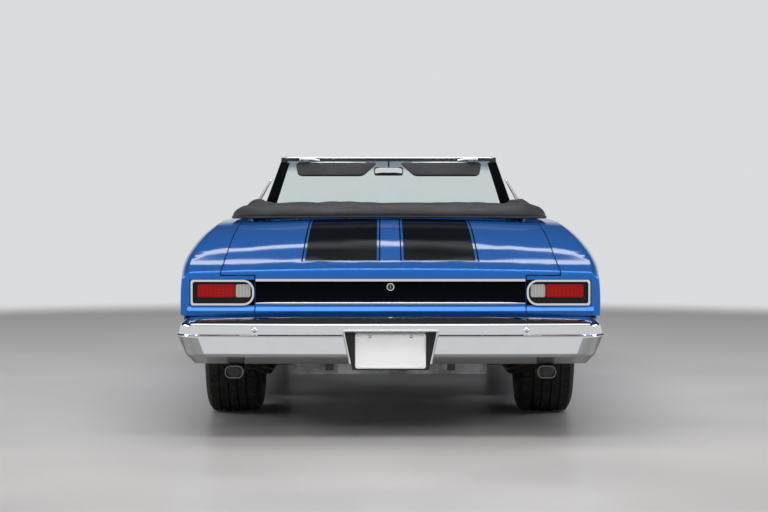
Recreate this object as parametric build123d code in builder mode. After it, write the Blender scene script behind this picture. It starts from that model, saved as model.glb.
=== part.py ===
# Two-door convertible muscle car, built as separate panels, running gear and cabin pieces.
# Millimetres. X points right, Y forward, Z up; the ground is Z = 0 and the origin is under the middle of the car.
import os
from build123d import *

# Overall sizes
length = 5004
width = 1905
wheelbase = 2921
axle_shift = 176.5
half_width = width / 2
rear_axle_y = axle_shift - wheelbase / 2
front_axle_y = rear_axle_y + wheelbase
rear_bumper_reach = 78
front_bumper_reach = 92
tail_y = rear_bumper_reach - length / 2
nose_y = length / 2 - front_bumper_reach

# Shut lines, walls and fits
gap = 5
skin = 7
panel_wall = 16
pin_clearance = 0.05
weld = 2
rest_clearance = 0.3

# Doors and cabin
door_front_y = 720
door_rear_y = -470
door_bottom_z = 300
cabin_half = 775
door_angle_room = 85
door_axis_x = 905
door_slab_x = 922
door_top_zone_z = 800
door_top_zone_x = 825
hinge_pin_r = 8
hinge_lug_r = 14
hinge_lug_height = 34
hinge_arm_height = 12
hinge_arm_width = 16
door_hinge_z = (430, 720)
door_axis_y = door_front_y - door_angle_room

# Hood, cowl, deck lid and tulip panel
hood_half = 705
hood_rear_y = 880
hood_front_y = nose_y - 58
cowl_drop = 30
cowl_rear_y = 600
cowl_half = cabin_half - gap
hood_axis_y = hood_rear_y - 3
hood_axis_z = 912
hood_pin_x = 400
deck_half = 733
deck_front_y = -1255
tulip_front_y = -1085
lid_face_half = 585
lid_face_depth = 34
lid_bottom_z = 535
tail_step_z = 705
tail_panel_half = 865
tail_edge_r = 12
lip_reach = 13
lip_top_z = 577
lip_low_z = 552
lip_end_x = 880
deck_axis_y = deck_front_y + 200
deck_axis_z = 835
deck_arm_x = 450
deck_arm_thickness = 14

# Wheels and tyres
rear_track = 1490
front_track = 1480
rim_r = 195
front_tyre_r = 335
front_tyre_width = 235
rear_tyre_r = 350
rear_tyre_width = 265
hub_pin_r = 30
arch_room = 48
tub_room = 55
tub_wall = 6
tub_inner_x = 575
rear_arch_top_z = 668
kingpin_offset = 40
kingpin_pin_r = 12

# Bumpers
bumper_low_z = 326
bumper_high_z = 528
bumper_half = half_width - 21.5
bumper_wall = 9
bumper_wrap = 330
front_bumper_low_z = 345
front_bumper_height = 180
bracket_depth = lid_face_depth + 12

# Lamps and plate
tail_lamp_inner_x = 590
tail_lamp_outer_x = 866
tail_lamp_low_z = 577
tail_lamp_high_z = 689
tail_lamp_rim = 9
tail_lamp_inner_r = 48
tail_lamp_outer_r = 10
lamp_fit = 0.5
tail_recess = 22
plate_width = 305
plate_height = 152
plate_top_z = 459
plate_hole_spacing = 178
plate_hole_r = 3.5
headlamp_r = 73
headlamp_z = 650
headlamp_inner_x = 575
headlamp_outer_x = 755
grille_low_z = 563
grille_high_z = 737
grille_half = 860
grille_bar_pitch = 21

# Windshield
glass_wall = 6
glass_base_z = 890
glass_top_z = 1232
glass_base_half = 710
glass_base_end_y = 640
glass_base_mid_y = 800
glass_top_half = 564
glass_top_end_y = 250
glass_top_mid_y = 335
header_top_z = 1255
pillar_width = 34

# Body sections from tail to nose. Insets are taken from half the width, heights from the ground.
# station y, sill inset, sill z, side inset, side z, edge inset, edge z, crown inset, crown z, middle z
body_sections = (
    (tail_y, 75, 340, 43, 560, 48, 690, 82, 722, 737),
    (tail_y + 574, 60, 300, 8, 600, 16, 765, 75, 822, 838),
    (rear_axle_y, 40, 230, 0, 620, 10, 800, 100, 893, 915),
    (door_rear_y, 40, 190, 0, 600, 12, 815, 105, 918, 945),
    (door_front_y, 40, 190, 6, 600, 18, 810, 100, 910, 950),
    (front_axle_y, 45, 230, 10, 610, 22, 785, 88, 862, 900),
    (nose_y, 80, 340, 42, 580, 48, 725, 88, 778, 800),
)


def block(x, y, z, mode=Mode.ADD):
    with Locations(((x[0] + x[1]) / 2, (y[0] + y[1]) / 2, (z[0] + z[1]) / 2)):
        Box(x[1] - x[0], y[1] - y[0], z[1] - z[0], mode=mode)


def save(part, label):
    part.label = label
    export_step(part, f"parts/{label}.step")


def save_pair(right, label):
    save(right, f"{label}_right")
    save(mirror(right, about=Plane.YZ), f"{label}_left")


def tail_lip(low_x, high_x):
    with BuildPart() as lip:
        with BuildSketch(Plane.YZ.offset(low_x)):
            with BuildLine():
                FilletPolyline(
                    (tail_y + 4, lip_top_z), (tail_y - lip_reach, lip_low_z), (tail_y, lid_bottom_z),
                    (tail_y + 4, lid_bottom_z), radius=(0.0, 5, 0.0, 0.0), close=True,
                )
            make_face()
        extrude(amount=high_x - low_x)
    return lip.part


def lamp_outline(shrink):
    low, high = tail_lamp_low_z + shrink, tail_lamp_high_z - shrink
    inner, outer = tail_lamp_inner_x + shrink, tail_lamp_outer_x - shrink
    with BuildSketch() as sketch:
        with BuildLine():
            FilletPolyline(
                (inner, low), (outer, low), (outer, high), (inner, high),
                radius=(tail_lamp_inner_r - shrink, tail_lamp_outer_r, tail_lamp_outer_r, tail_lamp_inner_r - shrink),
                close=True,
            )
        make_face()
    return sketch.sketch


def both_sides(right):
    return Compound(children=[right, mirror(right, about=Plane.YZ)])


def body_solid(inset=0, drop=1, reach=0):
    last = len(body_sections) - 1
    with BuildPart() as body:
        for index, row in enumerate(body_sections):
            y, sill_in, sill_z, side_in, side_z, edge_in, edge_z, crown_in, crown_z, mid_z = row
            if index == 0:
                y -= reach
            if index == last:
                y += reach
            sill = (half_width - sill_in - inset, sill_z)
            side = (half_width - side_in - inset, side_z)
            edge = (half_width - edge_in - inset, edge_z - inset / 2)
            crown = (half_width - crown_in - inset / 2, crown_z - inset)
            knee = (
                0.34 * crown[0] + 0.66 * edge[0] - 0.16 * (edge[0] - crown[0]),
                0.5 * (edge[1] + crown[1]) + 0.18 * (crown[1] - edge[1]),
            )
            with BuildSketch(Plane.XZ.offset(-y)):
                with BuildLine():
                    Polyline((-sill[0], sill[1]), (-sill[0], sill[1] - drop), (sill[0], sill[1] - drop), sill)
                    ThreePointArc(sill, side, edge)
                    ThreePointArc(edge, knee, crown)
                    ThreePointArc(crown, (0, mid_z - inset), (-crown[0], crown[1]))
                    ThreePointArc((-crown[0], crown[1]), (-knee[0], knee[1]), (-edge[0], edge[1]))
                    ThreePointArc((-edge[0], edge[1]), (-side[0], side[1]), (-sill[0], sill[1]))
                make_face()
        loft()
    return body.part


os.makedirs("parts", exist_ok=True)
far = 3000
with BuildPart() as rounded_hull:
    add(body_solid())
    fillet(rounded_hull.faces().sort_by(Axis.Y)[0].edges().sort_by(Axis.Z)[1:], tail_edge_r)
hull = rounded_hull.part
hull_skin = body_solid(inset=skin, drop=400, reach=20)
hull_weld = body_solid(inset=skin - weld)
hull_panel = body_solid(inset=panel_wall, drop=400, reach=20)
hull_cowl = body_solid(inset=cowl_drop)
hull_under = body_solid(inset=cowl_drop + panel_wall, drop=400)
hull_rest = body_solid(inset=-rest_clearance)

# Front fenders
with BuildPart() as fender:
    add(hull)
    block((hood_half + gap, far), (door_front_y + gap, nose_y - 45), (0, far), mode=Mode.INTERSECT)
    add(hull_skin, mode=Mode.SUBTRACT)
    block((0, far), (nose_y - bumper_wrap - gap, far), (0, front_bumper_low_z + front_bumper_height + gap),
          mode=Mode.SUBTRACT)
    with BuildSketch(Plane.YZ.offset(hood_half - 10)):
        with Locations((front_axle_y, front_tyre_r)):
            Circle(front_tyre_r + arch_room)
    extrude(amount=far, mode=Mode.SUBTRACT)
save_pair(fender.part, "fender")

# Inner fenders: an apron beside the engine and a shelf over the wheel
apron_x = 430
apron_wall = 6
shelf_z = 752
with BuildPart() as inner_fender:
    with BuildSketch(Plane.XZ.offset(-(door_front_y + 190))):
        with BuildLine():
            FilletPolyline(
                (apron_x, 495), (apron_x, shelf_z + apron_wall), (far, shelf_z + apron_wall),
                (far, shelf_z), (apron_x + apron_wall, shelf_z), (apron_x + apron_wall, 495),
                radius=0.0, close=True,
            )
        make_face()
    extrude(amount=-(nose_y - 190 - door_front_y - 190))
    add(hull_skin, mode=Mode.INTERSECT)
save(both_sides(inner_fender.part), "inner_fenders")

# Hood with its hinge lugs
with BuildPart() as hood:
    add(hull)
    block((-hood_half, hood_half), (hood_rear_y, hood_front_y), (600, far), mode=Mode.INTERSECT)
    add(hull_panel, mode=Mode.SUBTRACT)
    for side in (-1, 1):
        with BuildSketch(Plane.YZ.offset(side * hood_pin_x)):
            with BuildLine():
                FilletPolyline((hood_axis_y, hood_axis_z), (hood_axis_y + 30, hood_axis_z - 18),
                               (hood_axis_y + 130, hood_axis_z + 4), radius=12)
            trace(line_width=16)
            with Locations((hood_axis_y, hood_axis_z)):
                Circle(9)
                Circle(5 + pin_clearance, mode=Mode.SUBTRACT)
        extrude(amount=10, both=True)
save(hood.part, "hood")

# Cowl panel with the A-posts, hood hinge pins and door hinge arms
with BuildPart() as cowl:
    add(hull_cowl)
    block((-cowl_half, cowl_half), (cowl_rear_y, hood_rear_y - gap), (700, far), mode=Mode.INTERSECT)
    add(hull_under, mode=Mode.SUBTRACT)
    for side in (-1, 1):
        block(sorted((side * (hood_half - 4), side * far)), (door_front_y - 10, far), (0, far), mode=Mode.SUBTRACT)
    for side in (-1, 1):
        block(sorted((side * hood_pin_x - 14, side * hood_pin_x + 14)), (hood_axis_y - 36, far), (700, far),
              mode=Mode.SUBTRACT)
        with BuildSketch(Plane.YZ.offset(side * hood_pin_x)):
            with Locations((hood_axis_y, hood_axis_z)):
                Circle(5)
        extrude(amount=24, both=True)
        for end in (-1, 1):
            block(
                sorted((side * hood_pin_x + end * 14, side * hood_pin_x + end * 24)),
                (hood_axis_y - 40, hood_axis_y + 4), (hood_axis_z - 60, hood_axis_z + 4),
            )
        block(sorted((side * hood_pin_x - 24, side * hood_pin_x + 24)),
              (hood_axis_y - 46, hood_axis_y - 36), (hood_axis_z - 60, hood_axis_z - 18))
        block(sorted((side * 712, side * 790)), (door_axis_y - 14, door_front_y + 120), (door_bottom_z, 785))
        block(sorted((side * 712, side * cowl_half)), (cowl_rear_y, door_front_y - 12), (780, 886))
        for z in door_hinge_z:
            block(sorted((side * 780, side * door_axis_x)),
                  (door_axis_y - hinge_arm_width / 2, door_axis_y + hinge_arm_width / 2),
                  (z - hinge_arm_height, z))
            with Locations((side * door_axis_x, door_axis_y, z - hinge_arm_height / 2)):
                Cylinder(hinge_lug_r, hinge_arm_height)
            with Locations((side * door_axis_x, door_axis_y, z + hinge_lug_height / 2 - 6)):
                Cylinder(hinge_pin_r, hinge_lug_height + 14)
    block((-714, 714), (hood_rear_y - 50, hood_rear_y - 42), (430, 896))
save(cowl.part, "cowl")

# Doors: full thickness behind the hinge line, a slab ahead of it, with lugs round the hinge pins
with BuildPart() as door:
    add(hull)
    block((cabin_half, far), (door_rear_y, door_front_y), (door_bottom_z, far), mode=Mode.INTERSECT)
    block((0, door_slab_x), (door_axis_y - 20, far), (0, door_top_zone_z), mode=Mode.SUBTRACT)
    block((0, door_top_zone_x), (door_axis_y - 20, far), (0, far), mode=Mode.SUBTRACT)
    block((cabin_half + 45, cabin_half + 58), (door_rear_y + 40, door_axis_y - 240), (600, far), mode=Mode.SUBTRACT)
    for z in door_hinge_z:
        with Locations((door_axis_x, door_axis_y, z + 2 + hinge_lug_height / 2)):
            Cylinder(hinge_lug_r, hinge_lug_height)
        block((door_axis_x - hinge_lug_r, door_axis_x + hinge_lug_r),
              (door_axis_y - 30, door_axis_y), (z + 2, z + 2 + hinge_lug_height))
        with Locations((door_axis_x, door_axis_y, z + hinge_lug_height / 2)):
            Cylinder(hinge_pin_r + pin_clearance, hinge_lug_height + 20, mode=Mode.SUBTRACT)
    block((cabin_half - 55, cabin_half + 5), (door_rear_y + 160, door_rear_y + 620), (600, 655))
save_pair(door.part, "door")

# Vent windows standing on the doors
with BuildPart() as vent:
    with BuildSketch(Plane(origin=(cabin_half + 12, door_axis_y, 915), x_dir=(0, 1, 0), z_dir=(1, 0, 0.62))):
        with BuildLine():
            FilletPolyline((-62, -6), (-345, 255), (-372, 255), (-372, -6), radius=(0.0, 8, 8, 0.0), close=True)
        make_face()
    extrude(amount=5)
    add(hull, mode=Mode.SUBTRACT)
save_pair(vent.part, "vent_window")

# Rockers under the doors
with BuildPart() as rocker:
    add(hull)
    block((cabin_half - 60, far), (door_rear_y - gap + 2, door_front_y + gap - 2),
          (0, door_bottom_z - gap), mode=Mode.INTERSECT)
save(both_sides(rocker.part), "rockers")

# Quarter panels with a thick wall behind the door, a wheel tub and the tail lamp corner
with BuildPart() as quarter_room:
    add(hull_skin)
    block((0, far), (tail_y + lid_face_depth, rear_axle_y + 380), (-200, far), mode=Mode.INTERSECT)

with BuildPart() as lamp_corner:
    add(hull)
    block((tail_lamp_inner_x, deck_half + gap + 10), (tail_y, tail_y + lid_face_depth),
          (lid_bottom_z, tail_step_z), mode=Mode.INTERSECT)
    add(tail_lip(tail_lamp_inner_x, lip_end_x))

with BuildPart() as wheel_tub:
    with BuildSketch(Plane.YZ.offset(tub_inner_x)):
        with Locations((rear_axle_y, rear_tyre_r)):
            Circle(rear_tyre_r + tub_room)
            Circle(rear_tyre_r + tub_room - tub_wall, mode=Mode.SUBTRACT)
    extrude(amount=far)
    with BuildSketch(Plane.YZ.offset(tub_inner_x - tub_wall)):
        with Locations((rear_axle_y, rear_tyre_r)):
            Circle(rear_tyre_r + tub_room)
    extrude(amount=tub_wall)
    block((0, far), (-far, far), (330, far), mode=Mode.INTERSECT)
    block((0, tub_inner_x + 1), (-far, far), (0, 470), mode=Mode.SUBTRACT)
    add(hull_weld, mode=Mode.INTERSECT)

with BuildPart() as quarter:
    add(hull)
    block((deck_half + gap, far), (tail_y - 10, door_rear_y - gap), (0, far), mode=Mode.INTERSECT)
    add(quarter_room.part, mode=Mode.SUBTRACT)
    block((0, cabin_half), (tulip_front_y, far), (0, far), mode=Mode.SUBTRACT)
    add(lamp_corner.part)
    add(wheel_tub.part)
    with BuildSketch(Plane.YZ.offset(tub_inner_x + 20)):
        with Locations((rear_axle_y, rear_tyre_r)):
            Circle(rear_tyre_r + arch_room)
        with Locations((rear_axle_y, rear_arch_top_z + 500)):
            Rectangle(2000, 1000, mode=Mode.SUBTRACT)
    extrude(amount=far, mode=Mode.SUBTRACT)
    with BuildSketch(Plane.XZ.offset(-tail_y)):
        add(lamp_outline(0))
    extrude(amount=-tail_recess, mode=Mode.SUBTRACT)
    block((0, far), (-far, tail_y + bumper_wrap + gap), (0, bumper_high_z + gap), mode=Mode.SUBTRACT)
save_pair(quarter.part, "quarter")

# Tulip panel between the cabin and the deck lid, with the pins of the deck lid hinges
with BuildPart() as lid_brackets:
    for side in (-1, 1):
        block(sorted((side * (deck_arm_x + 12), side * (deck_arm_x + 22))),
              (deck_axis_y - 20, deck_axis_y + 20), (deck_axis_z - 20, far))
    add(hull_weld, mode=Mode.INTERSECT)

with BuildPart() as tulip:
    add(hull)
    block((-deck_half, deck_half), (deck_front_y + gap, tulip_front_y + 40), (600, far), mode=Mode.INTERSECT)
    add(hull_panel, mode=Mode.SUBTRACT)
    add(lid_brackets.part)
    for side in (-1, 1):
        with Locations(Pos(side * (deck_arm_x + 4), deck_axis_y, deck_axis_z)):
            Cylinder(hinge_pin_r, 30, rotation=(0, 90, 0))
save(tulip.part, "tulip_panel")

# Deck lid: top skin, coved rear face and two gooseneck arms
with BuildPart() as trunk_room:
    add(hull_panel)
    block((-far, far), (tail_y + lid_face_depth, far), (-200, far), mode=Mode.INTERSECT)

with BuildPart() as lid_arms:
    for side in (-1, 1):
        with BuildSketch(Plane.YZ.offset(side * deck_arm_x)):
            with BuildLine():
                FilletPolyline(
                    (deck_axis_y, deck_axis_z), (deck_axis_y - 70, deck_axis_z - 205),
                    (deck_axis_y - 245, deck_axis_z - 180), (deck_axis_y - 300, deck_axis_z + 80), radius=60,
                )
            trace(line_width=22)
            with Locations((deck_axis_y, deck_axis_z)):
                Circle(18)
                Circle(hinge_pin_r + pin_clearance, mode=Mode.SUBTRACT)
        extrude(amount=deck_arm_thickness / 2, both=True)
    add(hull_weld, mode=Mode.INTERSECT)

with BuildPart() as deck:
    add(hull)
    block((-deck_half, deck_half), (tail_y - 10, deck_front_y), (lid_bottom_z, far), mode=Mode.INTERSECT)
    add(trunk_room.part, mode=Mode.SUBTRACT)
    add(tail_lip(-lid_face_half, lid_face_half))
    for side in (-1, 1):
        block(sorted((side * lid_face_half, side * far)), (tail_y - 20, tail_y + 60),
              (0, tail_step_z + gap), mode=Mode.SUBTRACT)
    with BuildSketch(Plane.YZ.offset(-lid_face_half)):
        with BuildLine():
            FilletPolyline(
                (tail_y - 20, 694), (tail_y, 694), (tail_y + 16, 682), (tail_y + 16, 606),
                (tail_y, 592), (tail_y - 20, 592), radius=(0.0, 4, 8, 8, 4, 0.0), close=True,
            )
        make_face()
    extrude(amount=2 * lid_face_half, mode=Mode.SUBTRACT)
    add(lid_arms.part)
save(deck.part, "deck_lid")

# Tail panel: the inner wall of the trunk behind the lid face
with BuildPart() as tail_panel:
    add(hull_skin)
    block((-tail_panel_half, tail_panel_half), (tail_y + bracket_depth, tail_y + bracket_depth + 8), (340, 690),
          mode=Mode.INTERSECT)
save(tail_panel.part, "tail_panel")

# Tail lamps: chrome bezel, red lens and white reverse lens in the recess of each corner
with BuildPart() as bezel:
    with BuildSketch(Plane.XZ.offset(-(tail_y + tail_recess - 1))):
        add(lamp_outline(lamp_fit))
    extrude(amount=tail_recess + 5)
    with BuildSketch(Plane.XZ.offset(-(tail_y + 14))):
        add(lamp_outline(tail_lamp_rim))
    extrude(amount=40, mode=Mode.SUBTRACT)
save(both_sides(bezel.part), "tail_lamp_bezels")
lens_split_x = 672
for label, low_x, high_x in (("tail_lamp_lenses", lens_split_x + 2, 836), ("reverse_lenses", 607, lens_split_x - 2)):
    with BuildPart() as lens:
        block((low_x, high_x), (tail_y - 1, tail_y + 13.5), (613, 669))
        fillet(lens.edges().filter_by(Axis.Y), 8)
    save(both_sides(lens.part), label)

# Rear bumper swept round the corners, with the plate recess in its middle
rear_face = -length / 2
plate_room = (406, 342)
with BuildPart() as rear_bumper:
    with BuildLine() as rear_path:
        FilletPolyline(
            (bumper_half, tail_y + bumper_wrap, bumper_low_z), (bumper_half, rear_face + 22, bumper_low_z),
            (380, rear_face, bumper_low_z), (-380, rear_face, bumper_low_z),
            (-bumper_half, rear_face + 22, bumper_low_z), (-bumper_half, tail_y + bumper_wrap, bumper_low_z),
            radius=(95, 900, 900, 95),
        )
    with BuildSketch(Plane(origin=(bumper_half, tail_y + bumper_wrap, bumper_low_z), x_dir=(-1, 0, 0), z_dir=(0, 1, 0))):
        with BuildLine():
            FilletPolyline(
                (36, 0), (0, 42), (0, 150), (16, 172), (58, bumper_high_z - bumper_low_z),
                (58, bumper_high_z - bumper_low_z - bumper_wall), (22, 166), (bumper_wall, 146),
                (bumper_wall, 46), (44, 4),
                radius=(0.0, 26, 14, 14, 0.0, 0.0, 10, 8, 16, 0.0), close=True,
            )
        make_face()
    sweep(path=rear_path.line, transition=Transition.ROUND)
    with BuildSketch(Plane.XZ.offset(-(rear_face + 50))):
        with BuildLine():
            Polyline((-plate_room[1] / 2, 300), (-plate_room[0] / 2, 470), (plate_room[0] / 2, 470),
                     (plate_room[1] / 2, 300), close=True)
        make_face()
    extrude(amount=70, mode=Mode.SUBTRACT)
    for side in (-1, 1):
        block(sorted((side * 420, side * 470)), (rear_face + 6, tail_y + bracket_depth), (380, 440))
save(rear_bumper.part, "rear_bumper")

# Plate pocket behind the bumper opening and the blank plate bolted to it
pocket_y = rear_face + 34
with BuildPart() as pocket:
    with BuildSketch(Plane.XZ.offset(-pocket_y)):
        with BuildLine():
            Polyline((-165, 300), (-198, 470), (198, 470), (165, 300), close=True)
        make_face()
    extrude(amount=-8)
    for side in (-1, 1):
        block(sorted((side * 120, side * 160)), (pocket_y + 6, tail_y + bracket_depth), (340, 460))
        with Locations(Pos(side * plate_hole_spacing / 2, pocket_y, plate_top_z - 14)):
            Cylinder(plate_hole_r, 40, rotation=(90, 0, 0), mode=Mode.SUBTRACT)
save(pocket.part, "plate_pocket")
with BuildPart() as plate:
    with BuildSketch(Plane.XZ.offset(-(pocket_y - 0.05))):
        with Locations((0, plate_top_z - plate_height / 2)):
            RectangleRounded(plate_width, plate_height, 10)
        for side in (-1, 1):
            with Locations((side * plate_hole_spacing / 2, plate_top_z - 14)):
                Circle(plate_hole_r, mode=Mode.SUBTRACT)
    extrude(amount=2)
save(plate.part, "blank_plate")

# Nose panel round the lamps and grille
with BuildPart() as nose:
    add(hull)
    block((-far, far), (nose_y - 40, nose_y), (lid_bottom_z, far), mode=Mode.INTERSECT)
    block((-hood_half, hood_half), (nose_y - 80, nose_y - 40), (740, 790))
    with BuildSketch(Plane.XZ.offset(-(nose_y + 5))):
        with Locations((0, (grille_low_z + grille_high_z) / 2)):
            RectangleRounded(2 * grille_half, grille_high_z - grille_low_z, 40)
    extrude(amount=120, mode=Mode.SUBTRACT)
    add(hull, mode=Mode.INTERSECT)
    block((-hood_half - 20, hood_half + 20), (hood_front_y - 200, hood_front_y + gap), (0, far), mode=Mode.SUBTRACT)
save(nose.part, "nose_panel")

# Grille: bars, two frames and the lamp boards
grille_y = nose_y - 46
with BuildPart() as grille:
    block((-grille_half - 12, grille_half + 12), (grille_y - 8, grille_y), (grille_low_z - 8, grille_high_z + 3))
    bar_count = int((grille_high_z - grille_low_z - 20) / grille_bar_pitch)
    block((-headlamp_inner_x + headlamp_r + 22, headlamp_inner_x - headlamp_r - 22), (grille_y - 20, grille_y + 1),
          (grille_low_z + 4, grille_high_z - 4), mode=Mode.SUBTRACT)
    bar_half = headlamp_inner_x - headlamp_r - 20
    for index in range(bar_count):
        z = grille_low_z + 16 + index * grille_bar_pitch
        block((-bar_half, bar_half), (grille_y - 8, grille_y + 14), (z, z + 6))
    for x in (-bar_half + 6, -170, 0, 170, bar_half - 6):
        block((x - 5, x + 5), (grille_y - 8, grille_y + 8), (grille_low_z, grille_high_z))
save(grille.part, "grille")
with BuildPart() as lamp_ring:
    for x in (headlamp_inner_x, headlamp_outer_x):
        with BuildSketch(Plane.XZ.offset(-(grille_y + 0.5))):
            with Locations((x, headlamp_z)):
                Circle(headlamp_r + 13)
                Circle(headlamp_r + 1, mode=Mode.SUBTRACT)
        extrude(amount=-34)
save(both_sides(lamp_ring.part), "headlamp_bezels")
with BuildPart() as lamp:
    for x in (headlamp_inner_x, headlamp_outer_x):
        with BuildSketch(Plane.XZ.offset(-(grille_y + 0.5))):
            with Locations((x, headlamp_z)):
                Circle(headlamp_r)
    extrude(amount=-24)
    fillet(lamp.faces().sort_by(Axis.Y)[-2:].edges(), 10)
save(both_sides(lamp.part), "headlamps")

# Front bumper
front_face = length / 2
with BuildPart() as front_bumper:
    with BuildLine() as front_path:
        FilletPolyline(
            (-bumper_half, nose_y - bumper_wrap, front_bumper_low_z), (-bumper_half, front_face - 60, front_bumper_low_z),
            (-420, front_face, front_bumper_low_z), (420, front_face, front_bumper_low_z),
            (bumper_half, front_face - 60, front_bumper_low_z), (bumper_half, nose_y - bumper_wrap, front_bumper_low_z),
            radius=(110, 900, 900, 110),
        )
    with BuildSketch(Plane(origin=(-bumper_half, nose_y - bumper_wrap, front_bumper_low_z), x_dir=(1, 0, 0), z_dir=(0, -1, 0))):
        with BuildLine():
            FilletPolyline(
                (18, 0), (0, 30), (0, 135), (40, front_bumper_height), (40, front_bumper_height - bumper_wall), (bumper_wall, 131),
                (bumper_wall, 32), (26, 4),
                radius=(0.0, 20, 24, 0.0, 0.0, 16, 12, 0.0), close=True,
            )
        make_face()
    sweep(path=front_path.line, transition=Transition.ROUND)
    for side in (-1, 1):
        block(sorted((side * 400, side * 450)), (nose_y - 60, front_face - 6), (400, 450))
save(front_bumper.part, "front_bumper")

# Windshield: curved glass, frame of two pillars and a header, sun visors and mirror
def bow(z, half, end_y, mid_y, wall):
    with BuildSketch(Plane.XY.offset(z)) as sketch:
        with BuildLine():
            ThreePointArc((-half, end_y), (0, mid_y), (half, end_y))
            Line((half, end_y), (half, end_y - wall))
            ThreePointArc((half, end_y - wall), (0, mid_y - wall), (-half, end_y - wall))
            Line((-half, end_y - wall), (-half, end_y))
        make_face()
    return sketch.sketch


with BuildPart() as glass:
    base = bow(glass_base_z, glass_base_half, glass_base_end_y, glass_base_mid_y, glass_wall)
    top = bow(glass_top_z, glass_top_half, glass_top_end_y, glass_top_mid_y, glass_wall)
    loft([base, top], ruled=True)
    add(hull_cowl, mode=Mode.SUBTRACT)
save(glass.part, "windshield_glass")
with BuildPart() as shield:
    header = bow(glass_top_z + 0.5, glass_top_half + pillar_width / 2, glass_top_end_y + 14, glass_top_mid_y + 14, 46)
    extrude(header, amount=header_top_z - glass_top_z - 0.5)
    for side in (-1, 1):
        with BuildSketch(Plane.XY.offset(glass_base_z)):
            with Locations((side * (glass_base_half + 1 + pillar_width / 2), glass_base_end_y - 4)):
                Rectangle(pillar_width, 54)
        with BuildSketch(Plane.XY.offset(glass_top_z)):
            with Locations((side * (glass_top_half + 1 + pillar_width / 2), glass_top_end_y - 8)):
                Rectangle(pillar_width, 44)
        loft(ruled=True)
        block(sorted((side * (glass_top_half + 6), side * (glass_top_half + 1 + pillar_width))),
              (glass_top_end_y - 30, glass_top_end_y + 14), (glass_top_z - 8, header_top_z - 4))
    add(hull_cowl, mode=Mode.SUBTRACT)
save(shield.part, "windshield_frame")
with BuildPart() as visor:
    with BuildSketch(Plane(origin=(0, glass_top_mid_y - 70, glass_top_z - 2), x_dir=(1, 0, 0), z_dir=(0, -1, 0.55))):
        with BuildLine():
            FilletPolyline((95, -12), (520, -12), (500, -108), (60, -108), radius=14, close=True)
        make_face()
    extrude(amount=14)
    block((300, 314), (glass_top_mid_y - 86, glass_top_mid_y - 36), (glass_top_z - 9, glass_top_z + 0.5))
save(both_sides(visor.part), "sun_visors")
with BuildPart() as mirror_part:
    with BuildSketch(Plane.XZ.offset(-(glass_top_mid_y - 172))):
        with Locations((0, glass_top_z - 58)):
            RectangleRounded(160, 48, 12)
    extrude(amount=12)
    block((-5, 5), (glass_top_mid_y - 180, glass_top_mid_y - 10), (glass_top_z - 10, glass_top_z + 0.5))
    block((-5, 5), (glass_top_mid_y - 180, glass_top_mid_y - 170), (glass_top_z - 60, glass_top_z))
save(mirror_part.part, "inside_mirror")

# Floor pan with tunnel, sills, toe board, seat pan, bulkhead and trunk floor
floor_z = 262
floor_wall = 6
floor_half = 710
trunk_z = 512
bulkhead_y = -985
rear_floor_y = -560
rear_floor_half = 455
rear_floor_z = 330
with BuildPart() as floor_pan:
    block((-floor_half, floor_half), (rear_floor_y, door_front_y + 20), (floor_z, floor_z + floor_wall))
    block((-rear_floor_half, rear_floor_half), (bulkhead_y, rear_floor_y), (rear_floor_z, rear_floor_z + floor_wall))
    block((-rear_floor_half, rear_floor_half), (rear_floor_y, rear_floor_y + floor_wall), (floor_z, rear_floor_z + floor_wall))
    block((-floor_half, floor_half), (door_front_y + 14, door_front_y + 20), (floor_z, 420))
    block((-rear_floor_half, rear_floor_half), (bulkhead_y - 6, bulkhead_y), (rear_floor_z, 800))
    block((-tub_inner_x + 20, tub_inner_x - 20), (bulkhead_y - 6, bulkhead_y), (trunk_z, 800))
    block((-tub_inner_x + 20, tub_inner_x - 20), (tail_y + 56, bulkhead_y - 6), (trunk_z, trunk_z + floor_wall))
    block((-130, 130), (bulkhead_y - 6, door_front_y + 20), (floor_z, floor_z + 150))
    block((-122, 122), (bulkhead_y - 20, door_front_y + 40), (0, floor_z + 142), mode=Mode.SUBTRACT)
save(floor_pan.part, "floor_pan")

# Frame: two rails drawn in together under the engine, kicked up over the rear axle
rail_width = 70
rail_height = 95
rail_low_z = 158
with BuildPart() as frame:
    with BuildSketch(Plane.XY):
        with BuildLine():
            FilletPolyline(
                (375, nose_y - 120), (375, front_axle_y - 330), (640, front_axle_y - 640), (640, rear_axle_y + 620),
                (500, rear_axle_y + 430), (500, tail_y + 120), radius=90,
            )
        trace(line_width=rail_width)
    extrude(amount=900)
    with BuildSketch(Plane.YZ.offset(-100)):
        with BuildLine():
            FilletPolyline(
                (nose_y, 300), (front_axle_y + 330, 300), (front_axle_y + 100, 275), (front_axle_y - 330, 275),
                (front_axle_y - 620, rail_low_z + rail_height / 2), (rear_axle_y + 700, rail_low_z + rail_height / 2),
                (rear_axle_y + 260, 455), (rear_axle_y - 260, 455), (rear_axle_y - 560, 380), (tail_y, 380), radius=60,
            )
        trace(line_width=rail_height)
    extrude(amount=1200, mode=Mode.INTERSECT)
    mirror(about=Plane.YZ)
    block((-640, 640), (rear_axle_y + 720, rear_axle_y + 790), (rail_low_z + 2, rail_low_z + 42))
    block((-380, 380), (nose_y - 200, nose_y - 140), (275, 325))
    block((-640, 640), (front_axle_y - 700, front_axle_y - 640), (rail_low_z + 2, rail_low_z + 42))
    block((-500, 500), (tail_y + 130, tail_y + 180), (350, 410))
    for x in (-640, 640):
        for y in (front_axle_y - 760, rear_axle_y + 860):
            block((x - 40, x + 40), (y - 55, y + 55), (rail_low_z - 12, rail_low_z + 10))
save(frame.part, "frame")

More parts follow.
